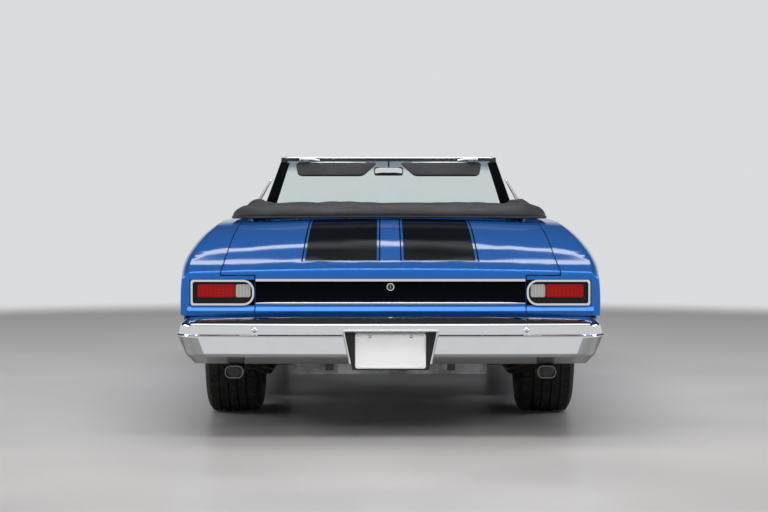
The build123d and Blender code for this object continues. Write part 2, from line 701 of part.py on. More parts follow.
# Engine block, gearbox and drive shaft
with BuildPart() as engine:
    block((-150, 150), (1180, 1900), (255, 560))
    block((-270, 270), (1230, 1850), (520, 700))
    block((-110, 110), (1330, 1750), (700, 770))
    with Locations((0, 1540, 790)):
        Cylinder(180, 50)
save(engine.part, "engine_block")
with BuildPart() as driveline:
    block((-120, 120), (890, 1178), (220, 390))
    with Locations(Pos(0, 640, 310)):
        Cylinder(85, 510, rotation=(90, 0, 0))
    with Locations(Pos(0, (390 + rear_axle_y + 150) / 2, 330)):
        Cylinder(38, 390 - (rear_axle_y + 150), rotation=(90, 0, 0))
save(driveline.part, "driveline")

# Rear axle with differential, trailing arms and springs
axle_half = rear_track / 2 - 55
with BuildPart() as rear_axle:
    with Locations(Pos(0, rear_axle_y, rear_tyre_r)):
        Cylinder(38, 2 * axle_half, rotation=(0, 90, 0))
        Sphere(125)
    with Locations(Pos(0, rear_axle_y + 120, rear_tyre_r)):
        Cylinder(60, 60, rotation=(90, 0, 0))
    for side in (-1, 1):
        with Locations(Pos(side * axle_half, rear_axle_y, rear_tyre_r)):
            Cylinder(130, 50, rotation=(0, 90, 0))
        with Locations(Pos(side * (axle_half + 60), rear_axle_y, rear_tyre_r)):
            Cylinder(hub_pin_r, 80, rotation=(0, 90, 0))
        block(sorted((side * 400, side * 436)), (rear_axle_y, rear_axle_y + 560), (264, 306))
        block(sorted((side * 396, side * 440)), (rear_axle_y - 24, rear_axle_y + 24), (264, 350))
save(rear_axle.part, "rear_axle")

# Front crossmember with upper and lower arms and the kingpins
kingpin_x = front_track / 2 - kingpin_offset
arm_z = (205, 470)
with BuildPart() as front_arms:
    block((-440, 440), (front_axle_y - 70, front_axle_y + 70), (180, 226))
    for side in (-1, 1):
        block(sorted((side * 411, side * 440)), (front_axle_y - 60, front_axle_y + 60), (200, 480))
        for z in arm_z:
            with BuildSketch(Plane.XY.offset(z - 12)):
                with BuildLine():
                    Polyline((side * 420, front_axle_y - 80), (side * kingpin_x, front_axle_y - 20),
                             (side * kingpin_x, front_axle_y + 20), (side * 420, front_axle_y + 80), close=True)
                make_face()
                with Locations((side * kingpin_x, front_axle_y)):
                    Circle(22)
            extrude(amount=24)
        with Locations((side * kingpin_x, front_axle_y, (arm_z[0] + arm_z[1]) / 2)):
            Cylinder(kingpin_pin_r, arm_z[1] - arm_z[0])
save(front_arms.part, "front_arms")

# Steering knuckles with brake drums and stub axles
with BuildPart() as knuckle:
    with Locations((kingpin_x, front_axle_y, (arm_z[0] + arm_z[1]) / 2)):
        Cylinder(26, arm_z[1] - arm_z[0] - 32)
    with Locations(Pos(kingpin_x + 15, front_axle_y, front_tyre_r)):
        Cylinder(60, 30, rotation=(0, 90, 0))
    with Locations(Pos(kingpin_x + 33, front_axle_y, front_tyre_r)):
        Cylinder(110, 30, rotation=(0, 90, 0))
    with Locations(Pos(kingpin_x + 60, front_axle_y, front_tyre_r)):
        Cylinder(hub_pin_r, 50, rotation=(0, 90, 0))
    with Locations((kingpin_x, front_axle_y, (arm_z[0] + arm_z[1]) / 2)):
        Cylinder(kingpin_pin_r + pin_clearance, 500, mode=Mode.SUBTRACT)
save_pair(knuckle.part, "knuckle")

# Wheels
# label, axle y, track, tyre radius, tyre width
wheels = (
    ("rear", rear_axle_y, rear_track, rear_tyre_r, rear_tyre_width),
    ("front", front_axle_y, front_track, front_tyre_r, front_tyre_width),
)
for label, axle_y, track, tyre_r, tyre_width in wheels:
    centre = (track / 2, axle_y, tyre_r)
    spin = Axis(centre, (1, 0, 0))
    half = tyre_width / 2
    plane = Plane(origin=centre, x_dir=(1, 0, 0), z_dir=(0, -1, 0))
    with BuildPart() as tyre:
        with BuildSketch(plane):
            with BuildLine():
                Polyline(
                    (-half + 22, rim_r), (-half + 6, rim_r + 24), (-half, rim_r + 60), (-half + 5, tyre_r - 32),
                    (-half + 14, tyre_r - 10), (-half + 34, tyre_r), (half - 34, tyre_r), (half - 14, tyre_r - 10),
                    (half - 5, tyre_r - 32), (half, rim_r + 60), (half - 6, rim_r + 24), (half - 22, rim_r), close=True,
                )
            make_face()
        revolve(axis=spin)
    save_pair(tyre.part, f"tyre_{label}")
    with BuildPart() as rim:
        with BuildSketch(plane):
            with BuildLine():
                Polyline(
                    (-half + 24, rim_r - 0.3), (half - 20, rim_r - 0.3), (half - 15, rim_r + 6), (half - 10, rim_r - 4),
                    (half - 30, rim_r - 18), (-half + 30, rim_r - 18), (-half + 16, rim_r - 6), close=True,
                )
            make_face()
            with Locations((24, 90)):
                Rectangle(20, 180)
        revolve(axis=spin)
        with BuildSketch(Plane.YZ.offset(track / 2 - 20)):
            with Locations((axle_y, tyre_r)):
                with PolarLocations(122, 5):
                    SlotOverall(74, 46, rotation=90)
        extrude(amount=100, mode=Mode.SUBTRACT)
        with Locations(Pos(track / 2 + 42, axle_y, tyre_r)):
            Cylinder(62, 24, rotation=(0, 90, 0))
        with Locations(Pos(track / 2, axle_y, tyre_r)):
            Cylinder(hub_pin_r + pin_clearance, 100, rotation=(0, 90, 0), mode=Mode.SUBTRACT)
    save_pair(rim.part, f"rim_{label}")

# Fuel tank and exhaust
with BuildPart() as tank:
    block((-430, 430), (tail_y + 190, tail_y + 640), (262, 395))
    fillet(tank.edges().filter_by(Axis.Z), 40)
save(tank.part, "fuel_tank")
tip_x = 675
tip_z = 292
pipe_z = 231
with BuildPart() as exhaust:
    with BuildLine() as pipe_path:
        FilletPolyline(
            (250, 1200, 300), (250, 760, pipe_z), (250, rear_axle_y + 430, pipe_z), (567, rear_axle_y + 330, pipe_z),
            (567, rear_axle_y - 450, pipe_z + 10), (tip_x, rear_axle_y - 640, tip_z), (tip_x, rear_face + 40, tip_z),
            radius=50,
        )
    with BuildSketch(Plane(origin=(250, 1200, 300), z_dir=(0, -440, pipe_z - 300))):
        Circle(24)
    sweep(path=pipe_path.line, transition=Transition.ROUND)
    with Locations(Pos(250, -150, 206)):
        Cylinder(52, 520, rotation=(90, 0, 0))
    with BuildSketch(Plane.XZ.offset(-(rear_face + 180))):
        with Locations((tip_x, tip_z)):
            RectangleRounded(80, 54, 24)
    extrude(amount=150)
    with BuildSketch(Plane.XZ.offset(-(rear_face + 100))):
        with Locations((tip_x, tip_z)):
            RectangleRounded(72, 46, 20)
    extrude(amount=100, mode=Mode.SUBTRACT)
save(both_sides(exhaust.part), "exhaust")

# Dashboard, steering column and steering wheel
with BuildPart() as dash:
    with BuildSketch(Plane.YZ.offset(-cabin_half + 30)):
        with BuildLine():
            FilletPolyline((590, 895), (430, 885), (400, 850), (420, 760), (460, 690), (590, 690),
                           radius=(0.0, 25, 20, 30, 20, 0.0), close=True)
        make_face()
    extrude(amount=2 * (cabin_half - 30))
save(dash.part, "dashboard")
wheel_centre = Vector(-365, 205, 790)
column_dir = Vector(0, -0.93, 0.37)
column_plane = Plane(origin=wheel_centre, x_dir=(1, 0, 0), z_dir=column_dir)
with BuildPart() as column:
    with BuildSketch(column_plane.offset(-30)):
        Circle(32)
    extrude(amount=-190)
    with BuildSketch(column_plane.offset(-30)):
        Circle(10)
    extrude(amount=32)
save(column.part, "steering_column")
with BuildPart() as steering_wheel:
    with BuildSketch(Plane(origin=wheel_centre + column_plane.x_dir * 188, x_dir=column_dir, z_dir=column_plane.y_dir)):
        Circle(13)
    revolve(axis=Axis(wheel_centre, column_dir))
    with BuildSketch(column_plane.offset(-26)):
        Circle(48)
    extrude(amount=40)
    with BuildSketch(column_plane.offset(-8)):
        for angle in (0, 180, 270):
            with Locations(Rot(0, 0, angle) * Pos(112, 0)):
                Rectangle(150, 26)
    extrude(amount=8)
    with BuildSketch(column_plane.offset(-40)):
        Circle(10 + pin_clearance)
    extrude(amount=46, mode=Mode.SUBTRACT)
save(steering_wheel.part, "steering_wheel")

# Seats, console and the folded top
with BuildPart() as bucket:
    block((105 + 40, 655), (-300, 215), (floor_z + 60, 500))
    fillet(bucket.edges(), 45)
with BuildPart() as bucket_back:
    with BuildSketch(Plane.YZ.offset(145)):
        with BuildLine():
            Polyline((-300, 440), (-425, 905), (-555, 905), (-440, 440), close=True)
        make_face()
    extrude(amount=510)
    fillet(bucket_back.edges(), 45)
with BuildPart() as bucket_base:
    block((180, 620), (-260, 180), (floor_z + floor_wall, floor_z + 60))
save(both_sides(Compound(children=[bucket.part])), "seat_cushions")
save(both_sides(Compound(children=[bucket_back.part])), "seat_backs")
save(both_sides(bucket_base.part), "seat_bases")
with BuildPart() as rear_cushion:
    block((-550, 550), (-905, -560), (440, 530))
    fillet(rear_cushion.edges(), 38)
save(rear_cushion.part, "rear_cushion")
with BuildPart() as rear_back:
    with BuildSketch(Plane.YZ.offset(-550)):
        with BuildLine():
            Polyline((-830, 531), (-880, 890), (-980, 890), (-980, 531), close=True)
        make_face()
    extrude(amount=1100)
    fillet(rear_back.edges(), 40)
save(rear_back.part, "rear_back")
with BuildPart() as console:
    block((-95, 95), (-250, 420), (floor_z + 150, floor_z + 205))
    fillet(console.edges().filter_by(Axis.Z), 20)
    with Locations((0, 250, floor_z + 260)):
        Cylinder(9, 160)
    with Locations((0, 250, floor_z + 350)):
        Sphere(26)
save(console.part, "console")

# Boot cover over the folded top, from the tulip panel forward and along both sides
# height, inset
boot_layers = ((905, 0), (975, 4), (1000, 18), (1012, 36))
with BuildPart() as boot:
    for z, inset in boot_layers:
        with BuildSketch(Plane.XY.offset(z)):
            with BuildLine():
                FilletPolyline(
                    (-770 + inset, -640 - inset / 2), (-560 - inset, -640 - inset / 2), (-500 - inset, -830 - inset / 2),
                    (500 + inset, -830 - inset / 2), (560 + inset, -640 - inset / 2), (770 - inset, -640 - inset / 2),
                    (770 - inset, -960), (560 - inset, -1110 + inset), (-560 + inset, -1110 + inset), (-770 + inset, -960),
                    radius=40, close=True,
                )
            make_face()
    loft(ruled=True)
    add(hull_rest, mode=Mode.SUBTRACT)
save(boot.part, "boot_cover")
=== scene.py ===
import bmesh
import bpy
import numpy as np
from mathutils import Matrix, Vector
from mathutils.bvhtree import BVHTree


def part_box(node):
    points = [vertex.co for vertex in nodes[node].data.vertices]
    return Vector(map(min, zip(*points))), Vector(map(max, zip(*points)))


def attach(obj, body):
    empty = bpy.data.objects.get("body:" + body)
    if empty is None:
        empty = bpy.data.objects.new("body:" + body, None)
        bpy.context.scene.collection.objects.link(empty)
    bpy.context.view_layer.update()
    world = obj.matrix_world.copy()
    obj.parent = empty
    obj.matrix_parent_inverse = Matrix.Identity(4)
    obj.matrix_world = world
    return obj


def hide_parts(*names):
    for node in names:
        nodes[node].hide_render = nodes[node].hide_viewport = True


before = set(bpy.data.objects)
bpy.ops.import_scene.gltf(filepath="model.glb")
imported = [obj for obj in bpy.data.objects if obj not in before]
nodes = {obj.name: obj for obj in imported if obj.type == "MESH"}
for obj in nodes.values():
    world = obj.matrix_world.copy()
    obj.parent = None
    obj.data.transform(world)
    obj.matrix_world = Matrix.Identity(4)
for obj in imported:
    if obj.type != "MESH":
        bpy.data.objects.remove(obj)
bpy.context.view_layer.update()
print("frame loaded with", len(nodes), "nodes")


def middleOf(nodeName):
    low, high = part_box(nodeName)
    return (low + high) / 2


# places read from the frame, in metres
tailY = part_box("tail_lamp_lenses")[0].y + 0.001  # rear face of the body
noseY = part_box("nose_panel")[1].y
bumperLow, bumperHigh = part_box("rear_bumper")
rearFaceY = bumperLow.y
lampLow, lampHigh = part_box("tail_lamp_bezels")
plateLow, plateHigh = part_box("blank_plate")
rearAxleY, frontAxleY = (middleOf(f"tyre_{end}_left").y for end in ("rear", "front"))
sides = (("left", -1), ("right", 1))


# shapes: (points, quads, triangles) as whole arrays
def pointsAt(*coordinates):
    # points from their coordinates, a single value repeated along the longest
    return np.stack(np.broadcast_arrays(*(np.asarray(values, float) for values in coordinates)), -1)


def unit(vectors):
    vectors = np.asarray(vectors, float)
    return vectors / np.linalg.norm(vectors, axis=-1, keepdims=True)


def gridShape(points, closeU=False, closeV=False, capStart=False, capEnd=False):
    # a grid of points in rows u and columns v; a cap is a fan to the mean point of the first or last row
    rows, columns = points.shape[:2]
    i, j = np.meshgrid(np.arange(rows if closeU else rows - 1),
                       np.arange(columns if closeV else columns - 1), indexing="ij")
    nextI, nextJ = (i + 1) % rows, (j + 1) % columns
    quads = np.stack([i * columns + j, i * columns + nextJ, nextI * columns + nextJ, nextI * columns + j], -1)
    flat, fans = points.reshape(-1, 3), []
    ring = np.arange(columns)
    for wanted, start in ((capStart, 0), (capEnd, (rows - 1) * columns)):
        if wanted:
            middle = np.full(columns, len(flat))
            flat = np.vstack([flat, flat[start:start + columns].mean(0)])
            fan = np.stack([start + ring, start + (ring + 1) % columns, middle], -1)
            fans.append(fan if start else fan[:, ::-1])
    return flat, quads.reshape(-1, 4), np.vstack(fans) if fans else np.zeros((0, 3), int)


def joinShapes(shapes):
    starts = np.cumsum([0] + [len(shape[0]) for shape in shapes[:-1]])
    return (np.vstack([shape[0] for shape in shapes]),
            np.vstack([shape[1] + start for shape, start in zip(shapes, starts)]),
            np.vstack([shape[2] + start for shape, start in zip(shapes, starts)]))


def mirrored(shape):
    # the same shape across the middle plane of the car, with its faces turned round
    points, quads, triangles = shape
    return points * (-1, 1, 1), quads[:, ::-1], triangles[:, ::-1]


def bothSides(shape):
    return joinShapes([shape, mirrored(shape)])


def frameAlong(path, up):
    # unit vectors across and above a path: across = tangent x up, above = across x tangent
    tangent = unit(np.gradient(path, axis=0))
    across = unit(np.cross(tangent, np.broadcast_to(np.asarray(up, float), path.shape)))
    return across, np.cross(across, tangent)


def strip(path, profile, up=(0, 0, 1), taper=None):
    # a profile (across, above) carried along a path, scaled by taper at each path point
    path, profile = np.asarray(path, float), np.asarray(profile, float)
    across, above = frameAlong(path, up)
    scale = np.ones(len(path)) if taper is None else np.asarray(taper, float)
    points = (path[:, None] + scale[:, None, None] * (profile[None, :, :1] * across[:, None]
                                                      + profile[None, :, 1:] * above[:, None]))
    return gridShape(points, closeV=True, capStart=True, capEnd=True)


def disc(count, radiusA, radiusB=None, power=2.0):
    # a closed outline: a superellipse of two half sizes, round at power 2 and squarer above it
    turn = np.linspace(0, 2 * np.pi, count, endpoint=False)
    c, s = np.cos(turn), np.sin(turn)
    return np.stack([radiusA * np.sign(c) * np.abs(c) ** (2 / power),
                     (radiusB or radiusA) * np.sign(s) * np.abs(s) ** (2 / power)], -1)


def rectangle(halfA, halfB):
    return np.array(((-halfA, -halfB), (halfA, -halfB), (halfA, halfB), (-halfA, halfB)))


def rod(path, radius, segments=10):
    return strip(path, disc(segments, radius))


def hoop(ring, profile, up):
    # a profile carried once round a closed run of points
    return strip(np.vstack([ring, ring[:2]]), profile, up)


halfRound = np.array([(0.0, -1.0), (0.45, -0.9), (0.8, -0.6), (1.0, 0.0), (0.8, 0.6), (0.45, 0.9), (0.0, 1.0),
                      (-0.5, 1.0), (-0.5, -1.0)])


def moulding(path, wide, proud, up=(0, 0, 1)):
    # half-round trim along a path, its flat side against the panel, thinner at both ends
    count = np.arange(len(path))
    ends = np.clip(np.minimum(count, count[::-1]) / 2 + 0.35, 0, 1)
    return strip(path, halfRound * np.array([proud, wide / 2]), up, ends)


def turned(profile, origin, axis, segments=32, closed=False):
    # a profile of (along the axis, radius) points spun about an axis through origin; a closed one makes a ring
    profile, axis = np.asarray(profile, float), unit(axis)
    side = unit(np.cross(axis, (0.0, 0.0, 1.0) if abs(axis[2]) < 0.9 else (1.0, 0.0, 0.0)))
    turn = np.linspace(0, 2 * np.pi, segments, endpoint=False)[:, None]
    spoke = np.cos(turn) * side + np.sin(turn) * np.cross(axis, side)
    points = np.asarray(origin, float) + profile[:, None, :1] * axis + profile[:, None, 1:] * spoke[None]
    return gridShape(points, closeU=closed, closeV=True, capStart=not closed, capEnd=not closed)


def slab(outline, origin, right, up, low, high, edge):
    # an outline raised along right x up from low to high, its two rims drawn in by edge as a rounded border
    outline = np.asarray(outline, float)
    right, up = np.asarray(right, float), np.asarray(up, float)
    out = np.cross(right, up)
    middle = (outline.max(0) + outline.min(0)) / 2
    half = (outline.max(0) - outline.min(0)) / 2
    inward = 1 - edge / half
    softer = 1 - 0.3 * edge / half
    step = edge if high > low else -edge
    layers = ((low, inward), (low + 0.3 * step, softer), (low + step, 1), (high - step, 1),
              (high - 0.3 * step, softer), (high, inward))
    rings = [np.asarray(origin, float) + ((outline - middle) * scale + middle) @ np.stack([right, up]) + level * out
             for level, scale in layers]
    return gridShape(np.stack(rings), closeV=True, capStart=True, capEnd=True)


def pebble(centre, size, power=4.0, rows=14, columns=28):
    # a rounded block: a superellipsoid of three half sizes
    high = np.linspace(-np.pi / 2, np.pi / 2, rows)[1:-1, None]
    turn = np.linspace(0, 2 * np.pi, columns, endpoint=False)[None]

    def bent(value):
        return np.sign(value) * np.abs(value) ** (2 / power)

    points = np.stack([size[0] * bent(np.cos(high)) * bent(np.cos(turn)),
                       size[1] * bent(np.cos(high)) * bent(np.sin(turn)),
                       size[2] * bent(np.sin(high)) * np.ones_like(turn)], -1)
    return gridShape(points + np.asarray(centre, float), closeV=True, capStart=True, capEnd=True)


def pad(outline, origin, right, up, thick, power=3.0, rings=9):
    # an outline stuffed like a cushion: height falls from the middle to the rim as a superellipse
    outline, right, up = (np.asarray(item, float) for item in (outline, right, up))
    out = np.cross(right, up)
    middle = (outline.max(0) + outline.min(0)) / 2
    share = np.sin(np.linspace(0.06, 1, rings) * np.pi / 2)
    height = (1 - share ** power) ** (1 / power) * thick / 2
    share, height = np.concatenate([share, share[-2::-1]]), np.concatenate([height, -height[-2::-1]])
    flat = (outline[None] - middle) * share[:, None, None] + middle
    points = np.asarray(origin, float) + flat @ np.stack([right, up]) + height[:, None, None] * out
    return gridShape(points, closeV=True, capStart=True, capEnd=True)


# runs of points
def bow(x, half, endY, midY):
    # a shallow bow across the car: end to end a parabola in plan
    return endY + (midY - endY) * (1 - (x / half) ** 2)


def bends(before, corners, after, radius, steps):
    # each corner swapped for a quadratic blend between points set back from it along its two edges
    back, ahead = corners + radius * unit(before - corners), corners + radius * unit(after - corners)
    t = np.linspace(0, 1, steps)[None, :, None]
    blend = (1 - t) ** 2 * back[:, None] + 2 * t * (1 - t) * corners[:, None] + t ** 2 * ahead[:, None]
    return blend.reshape(-1, corners.shape[1])


def softBend(corners, radius, steps=7):
    # an open run with its inner corners blended
    return np.vstack([corners[:1], bends(corners[:-2], corners[1:-1], corners[2:], radius, steps), corners[-1:]])


def roundedCorners(corners, radius, steps=6):
    # a closed outline with every corner blended
    return bends(np.roll(corners, 1, 0), corners, np.roll(corners, -1, 0), radius, steps)


def runAlong(path):
    # distance from the start at each point of a path
    return np.concatenate([[0], np.cumsum(np.linalg.norm(np.diff(path, axis=0), axis=1))])


def spaced(path, run, places):
    # the path again, with its points at the given distances along it
    return np.stack([np.interp(places, run, column) for column in path.T], -1)


# skin search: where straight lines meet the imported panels
def skinTree(*names):
    points, faces, start = [], [], 0
    for name in names:
        mesh = nodes[name].data
        spots = np.empty(len(mesh.vertices) * 3, np.float32)
        corners = np.empty(len(mesh.loops), np.int32)
        mesh.vertices.foreach_get("co", spots)
        mesh.loops.foreach_get("vertex_index", corners)
        points.append(spots.reshape(-1, 3))
        faces.append(corners.reshape(-1, 3) + start)
        start += len(points[-1])
    return BVHTree.FromPolygons(np.vstack(points).tolist(), np.vstack(faces).tolist())


def onSkin(tree, starts, direction, lift=0.0):
    # the first hit of each line, drawn back towards its start by lift
    hits = [tree.ray_cast(Vector(start), Vector(direction))[0] for start in starts]
    return np.array([list(hit) for hit in hits if hit]) - lift * np.asarray(direction, float)


def placed(name, data):
    made = bpy.data.objects.new(name, data)
    bpy.context.scene.collection.objects.link(made)
    return made


def piece(name, shape, finishName, body="car_body", replaced=(), sharp=40, solid=True):
    # one shape or a list of them as a mesh, with its finish, the body it rides and the nodes it stands for
    points, quads, triangles = joinShapes(shape) if isinstance(shape, list) else shape
    mesh = bpy.data.meshes.new(name)
    loops = np.concatenate([quads.ravel(), triangles.ravel()]).astype(np.int32)
    starts = np.concatenate([np.arange(len(quads)) * 4, len(quads) * 4 + np.arange(len(triangles)) * 3])
    mesh.vertices.add(len(points))
    mesh.vertices.foreach_set("co", np.ascontiguousarray(points, np.float32).ravel())
    mesh.loops.add(len(loops))
    mesh.loops.foreach_set("vertex_index", loops)
    mesh.polygons.add(len(starts))
    mesh.polygons.foreach_set("loop_start", starts.astype(np.int32))
    mesh.update(calc_edges=True)
    mesh.validate()
    if solid:
        shell = bmesh.new()
        shell.from_mesh(mesh)
        bmesh.ops.remove_doubles(shell, verts=shell.verts, dist=1e-6)
        bmesh.ops.recalc_face_normals(shell, faces=shell.faces)
        shell.to_mesh(mesh)
        shell.free()
    mesh.polygons.foreach_set("use_smooth", np.ones(len(mesh.polygons), bool))
    mesh.set_sharp_from_angle(angle=np.radians(sharp))
    made = placed(name, mesh)
    made.data.materials.append(finishes[finishName].material)
    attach(made, body)
    if replaced:
        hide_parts(*replaced)
    return made


# finishes: a Field is one socket with arithmetic, Shading a node tree, and a Finish one material
class Field:
    def __init__(self, shading, socket):
        self.shading, self.socket = shading, socket

    def maths(self, operation, *others):
        return self.shading.node("ShaderNodeMath", {"operation": operation}, dict(enumerate((self,) + others)))

    def __add__(self, other):
        return self.maths("ADD", other)

    def __sub__(self, other):
        return self.maths("SUBTRACT", other)

    def __rsub__(self, other):
        return self.maths("MULTIPLY", -1.0) + other

    def __mul__(self, other):
        return self.maths("MULTIPLY", other)

    __radd__, __rmul__ = __add__, __mul__

    def above(self, edge):
        return self.maths("GREATER_THAN", edge)

    def below(self, edge):
        return self.maths("LESS_THAN", edge)

    def between(self, low, high):
        return self.above(low) * self.below(high)

    def size(self):
        return self.maths("ABSOLUTE")

    def wave(self, pitch):  # 0 to 1 and back once in each pitch
        return (self * (2 * np.pi / pitch)).maths("SINE") * 0.5 + 0.5

    def either(self, other):
        return self.maths("MAXIMUM", other)

    def ramp(self, low, high, start=0.0, end=1.0):
        sockets = {"Value": self, "From Min": low, "From Max": high, "To Min": start, "To Max": end}
        return self.shading.node("ShaderNodeMapRange", {"interpolation_type": "SMOOTHSTEP"}, sockets)


class Shading:
    def __init__(self, tree):
        self.tree = tree

    def feed(self, socket, value):
        if isinstance(value, Field):
            self.tree.links.new(value.socket, socket)
        else:
            socket.default_value = (*value, 1.0) if socket.type == "RGBA" and len(value) == 3 else value

    def node(self, kind, settings=None, sockets=None, output=0):
        made = self.tree.nodes.new(kind)
        for setting, value in (settings or {}).items():
            setattr(made, setting, value)
        for socket, value in (sockets or {}).items():
            self.feed(made.inputs[socket], value)
        return Field(self, made.outputs[output])

    def axis(self, letter, source=None):
        return self.node("ShaderNodeSeparateXYZ", None, {0: source or self.spot}, "XYZ".index(letter))

    def mix(self, mask, first, second):
        return self.node("ShaderNodeMix", {"data_type": "RGBA"}, {0: mask, 6: first, 7: second}, 2)

    def surface(self, mask, first, second, outputName="Material Output"):
        # two shaders mixed by a mask go to the output
        both = self.node("ShaderNodeMixShader", None, {0: mask, 1: first, 2: second})
        self.feed(self.tree.nodes[outputName].inputs["Surface"], both)

    def seenRays(self):
        # 1 on rays of the camera, of mirror images and through glass; then the mirror images' rays alone
        camera, glossy, clear = (self.node("ShaderNodeLightPath", output=f"Is {kind} Ray")
                                 for kind in ("Camera", "Glossy", "Transmission"))
        return camera.either(glossy).either(clear), glossy


class Finish(Shading):
    def __init__(self, name, colour, roughness=0.5, metallic=0.0, **constants):
        self.material = bpy.data.materials.new(name)
        self.material.use_nodes = True
        super().__init__(self.material.node_tree)
        self.shader = self.tree.nodes["Principled BSDF"]
        self.shaded = Field(self, self.shader.outputs[0])
        self.put("Base Color", colour)
        self.put("Roughness", roughness)
        self.put("Metallic", metallic)
        for socketName, value in constants.items():
            self.put(socketName.replace("_", " "), value)
        coordinates = self.tree.nodes.new("ShaderNodeTexCoord")
        self.spot = Field(self, coordinates.outputs["Object"])
        self.facing = Field(self, coordinates.outputs["Normal"])

    def put(self, socket, value):
        self.feed(self.shader.inputs[socket], value)
        return self

    def stretched(self, scale):
        return self.node("ShaderNodeMapping", None, {"Vector": self.spot, "Scale": scale})

    def noise(self, scale, detail=3.0, stretch=None):
        vector = self.stretched(stretch) if stretch else self.spot
        return self.node("ShaderNodeTexNoise", None, {"Vector": vector, "Scale": scale, "Detail": detail})

    def cells(self, scale, feature="F1", output=0):
        return self.node("ShaderNodeTexVoronoi", {"feature": feature}, {"Vector": self.spot, "Scale": scale}, output)

    def covered(self, mask, **constants):
        # a second shader over the first where the mask is 1
        sockets = {socketName.replace("_", " "): value for socketName, value in constants.items()}
        self.surface(mask, self.shaded, self.node("ShaderNodeBsdfPrincipled", None, sockets))

    def bump(self, height, distance, strength=1.0):
        relief = self.node("ShaderNodeBump", None, {"Strength": strength, "Distance": distance, "Height": height})
        return self.put("Normal", relief)


paint = {
    "blue": (0.012, 0.165, 0.58), "deep": (0.007, 0.100, 0.40), "black": (0.003, 0.0035, 0.005),
    "metallic": 0.50, "roughness": 0.32, "coat": 0.75, "flakeScale": 1400.0,
    "dust": (0.16, 0.15, 0.14), "dustLowZ": 0.16, "dustHighZ": 0.42, "dustMost": 0.35,
    "stripeInner": 0.060, "stripeOuter": 0.378, "stripeEndY": -2.235, "stripeLowZ": 0.70, "stripeFacing": 0.25,
    "lineGap": 0.009, "lineWide": 0.007,
    "coveLowZ": 0.590, "coveHighZ": 0.694, "coveDepth": 0.030, "lampInner": 0.585, "lampOuter": 0.870,
}


def bodyPaint(name, stripes=False, cove=False, lampSurround=False):
    # metallic blue under clear lacquer, dusty low down; masks on Object coordinates lay the black stripes with
    # their outlines, the black tail panel and the lamp surrounds over it
    finish = Finish(name, paint["blue"], Coat_Roughness=0.03, Coat_IOR=1.38, Specular_Tint=(0.16, 0.46, 1.0))
    flake, patch = finish.cells(paint["flakeScale"]), finish.noise(1.3, 2.0)
    colour = finish.mix(flake.ramp(0.15, 0.75) * 0.55 + patch * 0.2, paint["blue"], paint["deep"])
    x, y, z = (finish.axis(letter) for letter in "XYZ")
    low = z.ramp(paint["dustLowZ"], paint["dustHighZ"], 1.0, 0.0)
    dust = low * finish.noise(9.0, 5.0).ramp(0.35, 0.75) * paint["dustMost"]
    tailFace = y.below(tailY + paint["coveDepth"])
    black = None
    if stripes:
        def stripePair(grown):  # both stripes, larger all round by grown
            return (x.size().between(paint["stripeInner"] - grown, paint["stripeOuter"] + grown)
                    * y.above(paint["stripeEndY"] - grown))

        inside, outside = stripePair(paint["lineGap"]), stripePair(paint["lineGap"] + paint["lineWide"])
        upward = z.above(paint["stripeLowZ"]) * finish.axis("Z", finish.facing).above(paint["stripeFacing"])
        black = stripePair(0.0).either(outside - outside * inside) * upward  # the outer side of each panel alone
    if cove:
        panel = z.between(paint["coveLowZ"], paint["coveHighZ"]) * tailFace
        black = panel if black is None else black.either(panel)
    if lampSurround:
        black = (z.between(lampLow.z, lampHigh.z) * tailFace
                 * x.size().between(paint["lampInner"], paint["lampOuter"]))
    finish.put("Base Color", finish.mix(dust, colour, paint["dust"]))
    finish.put("Metallic", dust.ramp(0.0, 1.0, paint["metallic"], 0.1))
    finish.put("Coat Weight", dust.ramp(0.0, 0.4, paint["coat"], 0.05))
    finish.put("Roughness", finish.noise(40.0, 2.0) * 0.08 + paint["roughness"] - 0.04 + dust * 0.5)
    finish.bump(finish.noise(90.0, 1.0), 0.0002, 0.03)
    if black is not None:
        finish.covered(black, Base_Color=paint["black"], Roughness=0.07, Specular_IOR_Level=0.003)
    return finish


def chromePlate(name, colour=(0.80, 0.81, 0.82), roughness=0.05):
    # bright plating with a light haze in patches
    finish = Finish(name, colour, metallic=1.0)
    haze = finish.noise(14.0, 4.0).ramp(0.4, 0.8)
    finish.put("Roughness", haze * 0.03 + roughness)
    return finish.put("Base Color", finish.mix(haze * 0.12, colour, (0.66, 0.67, 0.69)))


def lampBezel(name):
    # bright rim; deeper in its mouth, round the lens, black and dull: painted shade in the recess
    bright, black, mouth = (0.82, 0.83, 0.84), (0.004, 0.004, 0.005), 0.0025
    finish = Finish(name, bright)
    # inside: the recess behind the rim, where the painted shade goes
    inside = finish.axis("Y").above(tailY - mouth)
    finish.put("Base Color", finish.mix(inside, bright, black)).put("Metallic", 1 - inside)
    return finish.put("Roughness", inside * 0.5 + 0.06)


def castMetal(name, colour, roughness=0.55, metallic=0.6, grain=420.0, dirt=0.5):
    # grainy metal, duller and less bright where grime lies
    finish = Finish(name, colour)
    grime = finish.noise(11.0, 6.0).ramp(0.40, 0.72) * dirt
    finish.put("Base Color", finish.mix(grime, colour, (0.045, 0.038, 0.032)))
    finish.put("Roughness", grime * 0.3 + roughness)
    finish.put("Metallic", grime.ramp(0.0, 1.0, metallic, 0.0))
    return finish.bump(finish.noise(grain, 3.0), 0.0012, 0.35)


def satinBlack(name, colour=(0.012, 0.012, 0.013), roughness=0.42, grain=520.0, relief=0.3):
    # fine-grained black, greyer and rougher where it is worn
    finish = Finish(name, colour)
    worn = finish.noise(16.0, 5.0).ramp(0.45, 0.75)
    finish.put("Base Color", finish.mix(worn * 0.35, colour, (0.035, 0.034, 0.033)))
    finish.put("Roughness", worn * 0.15 + roughness)
    return finish.bump(finish.noise(grain, 3.0), 0.0005, relief)


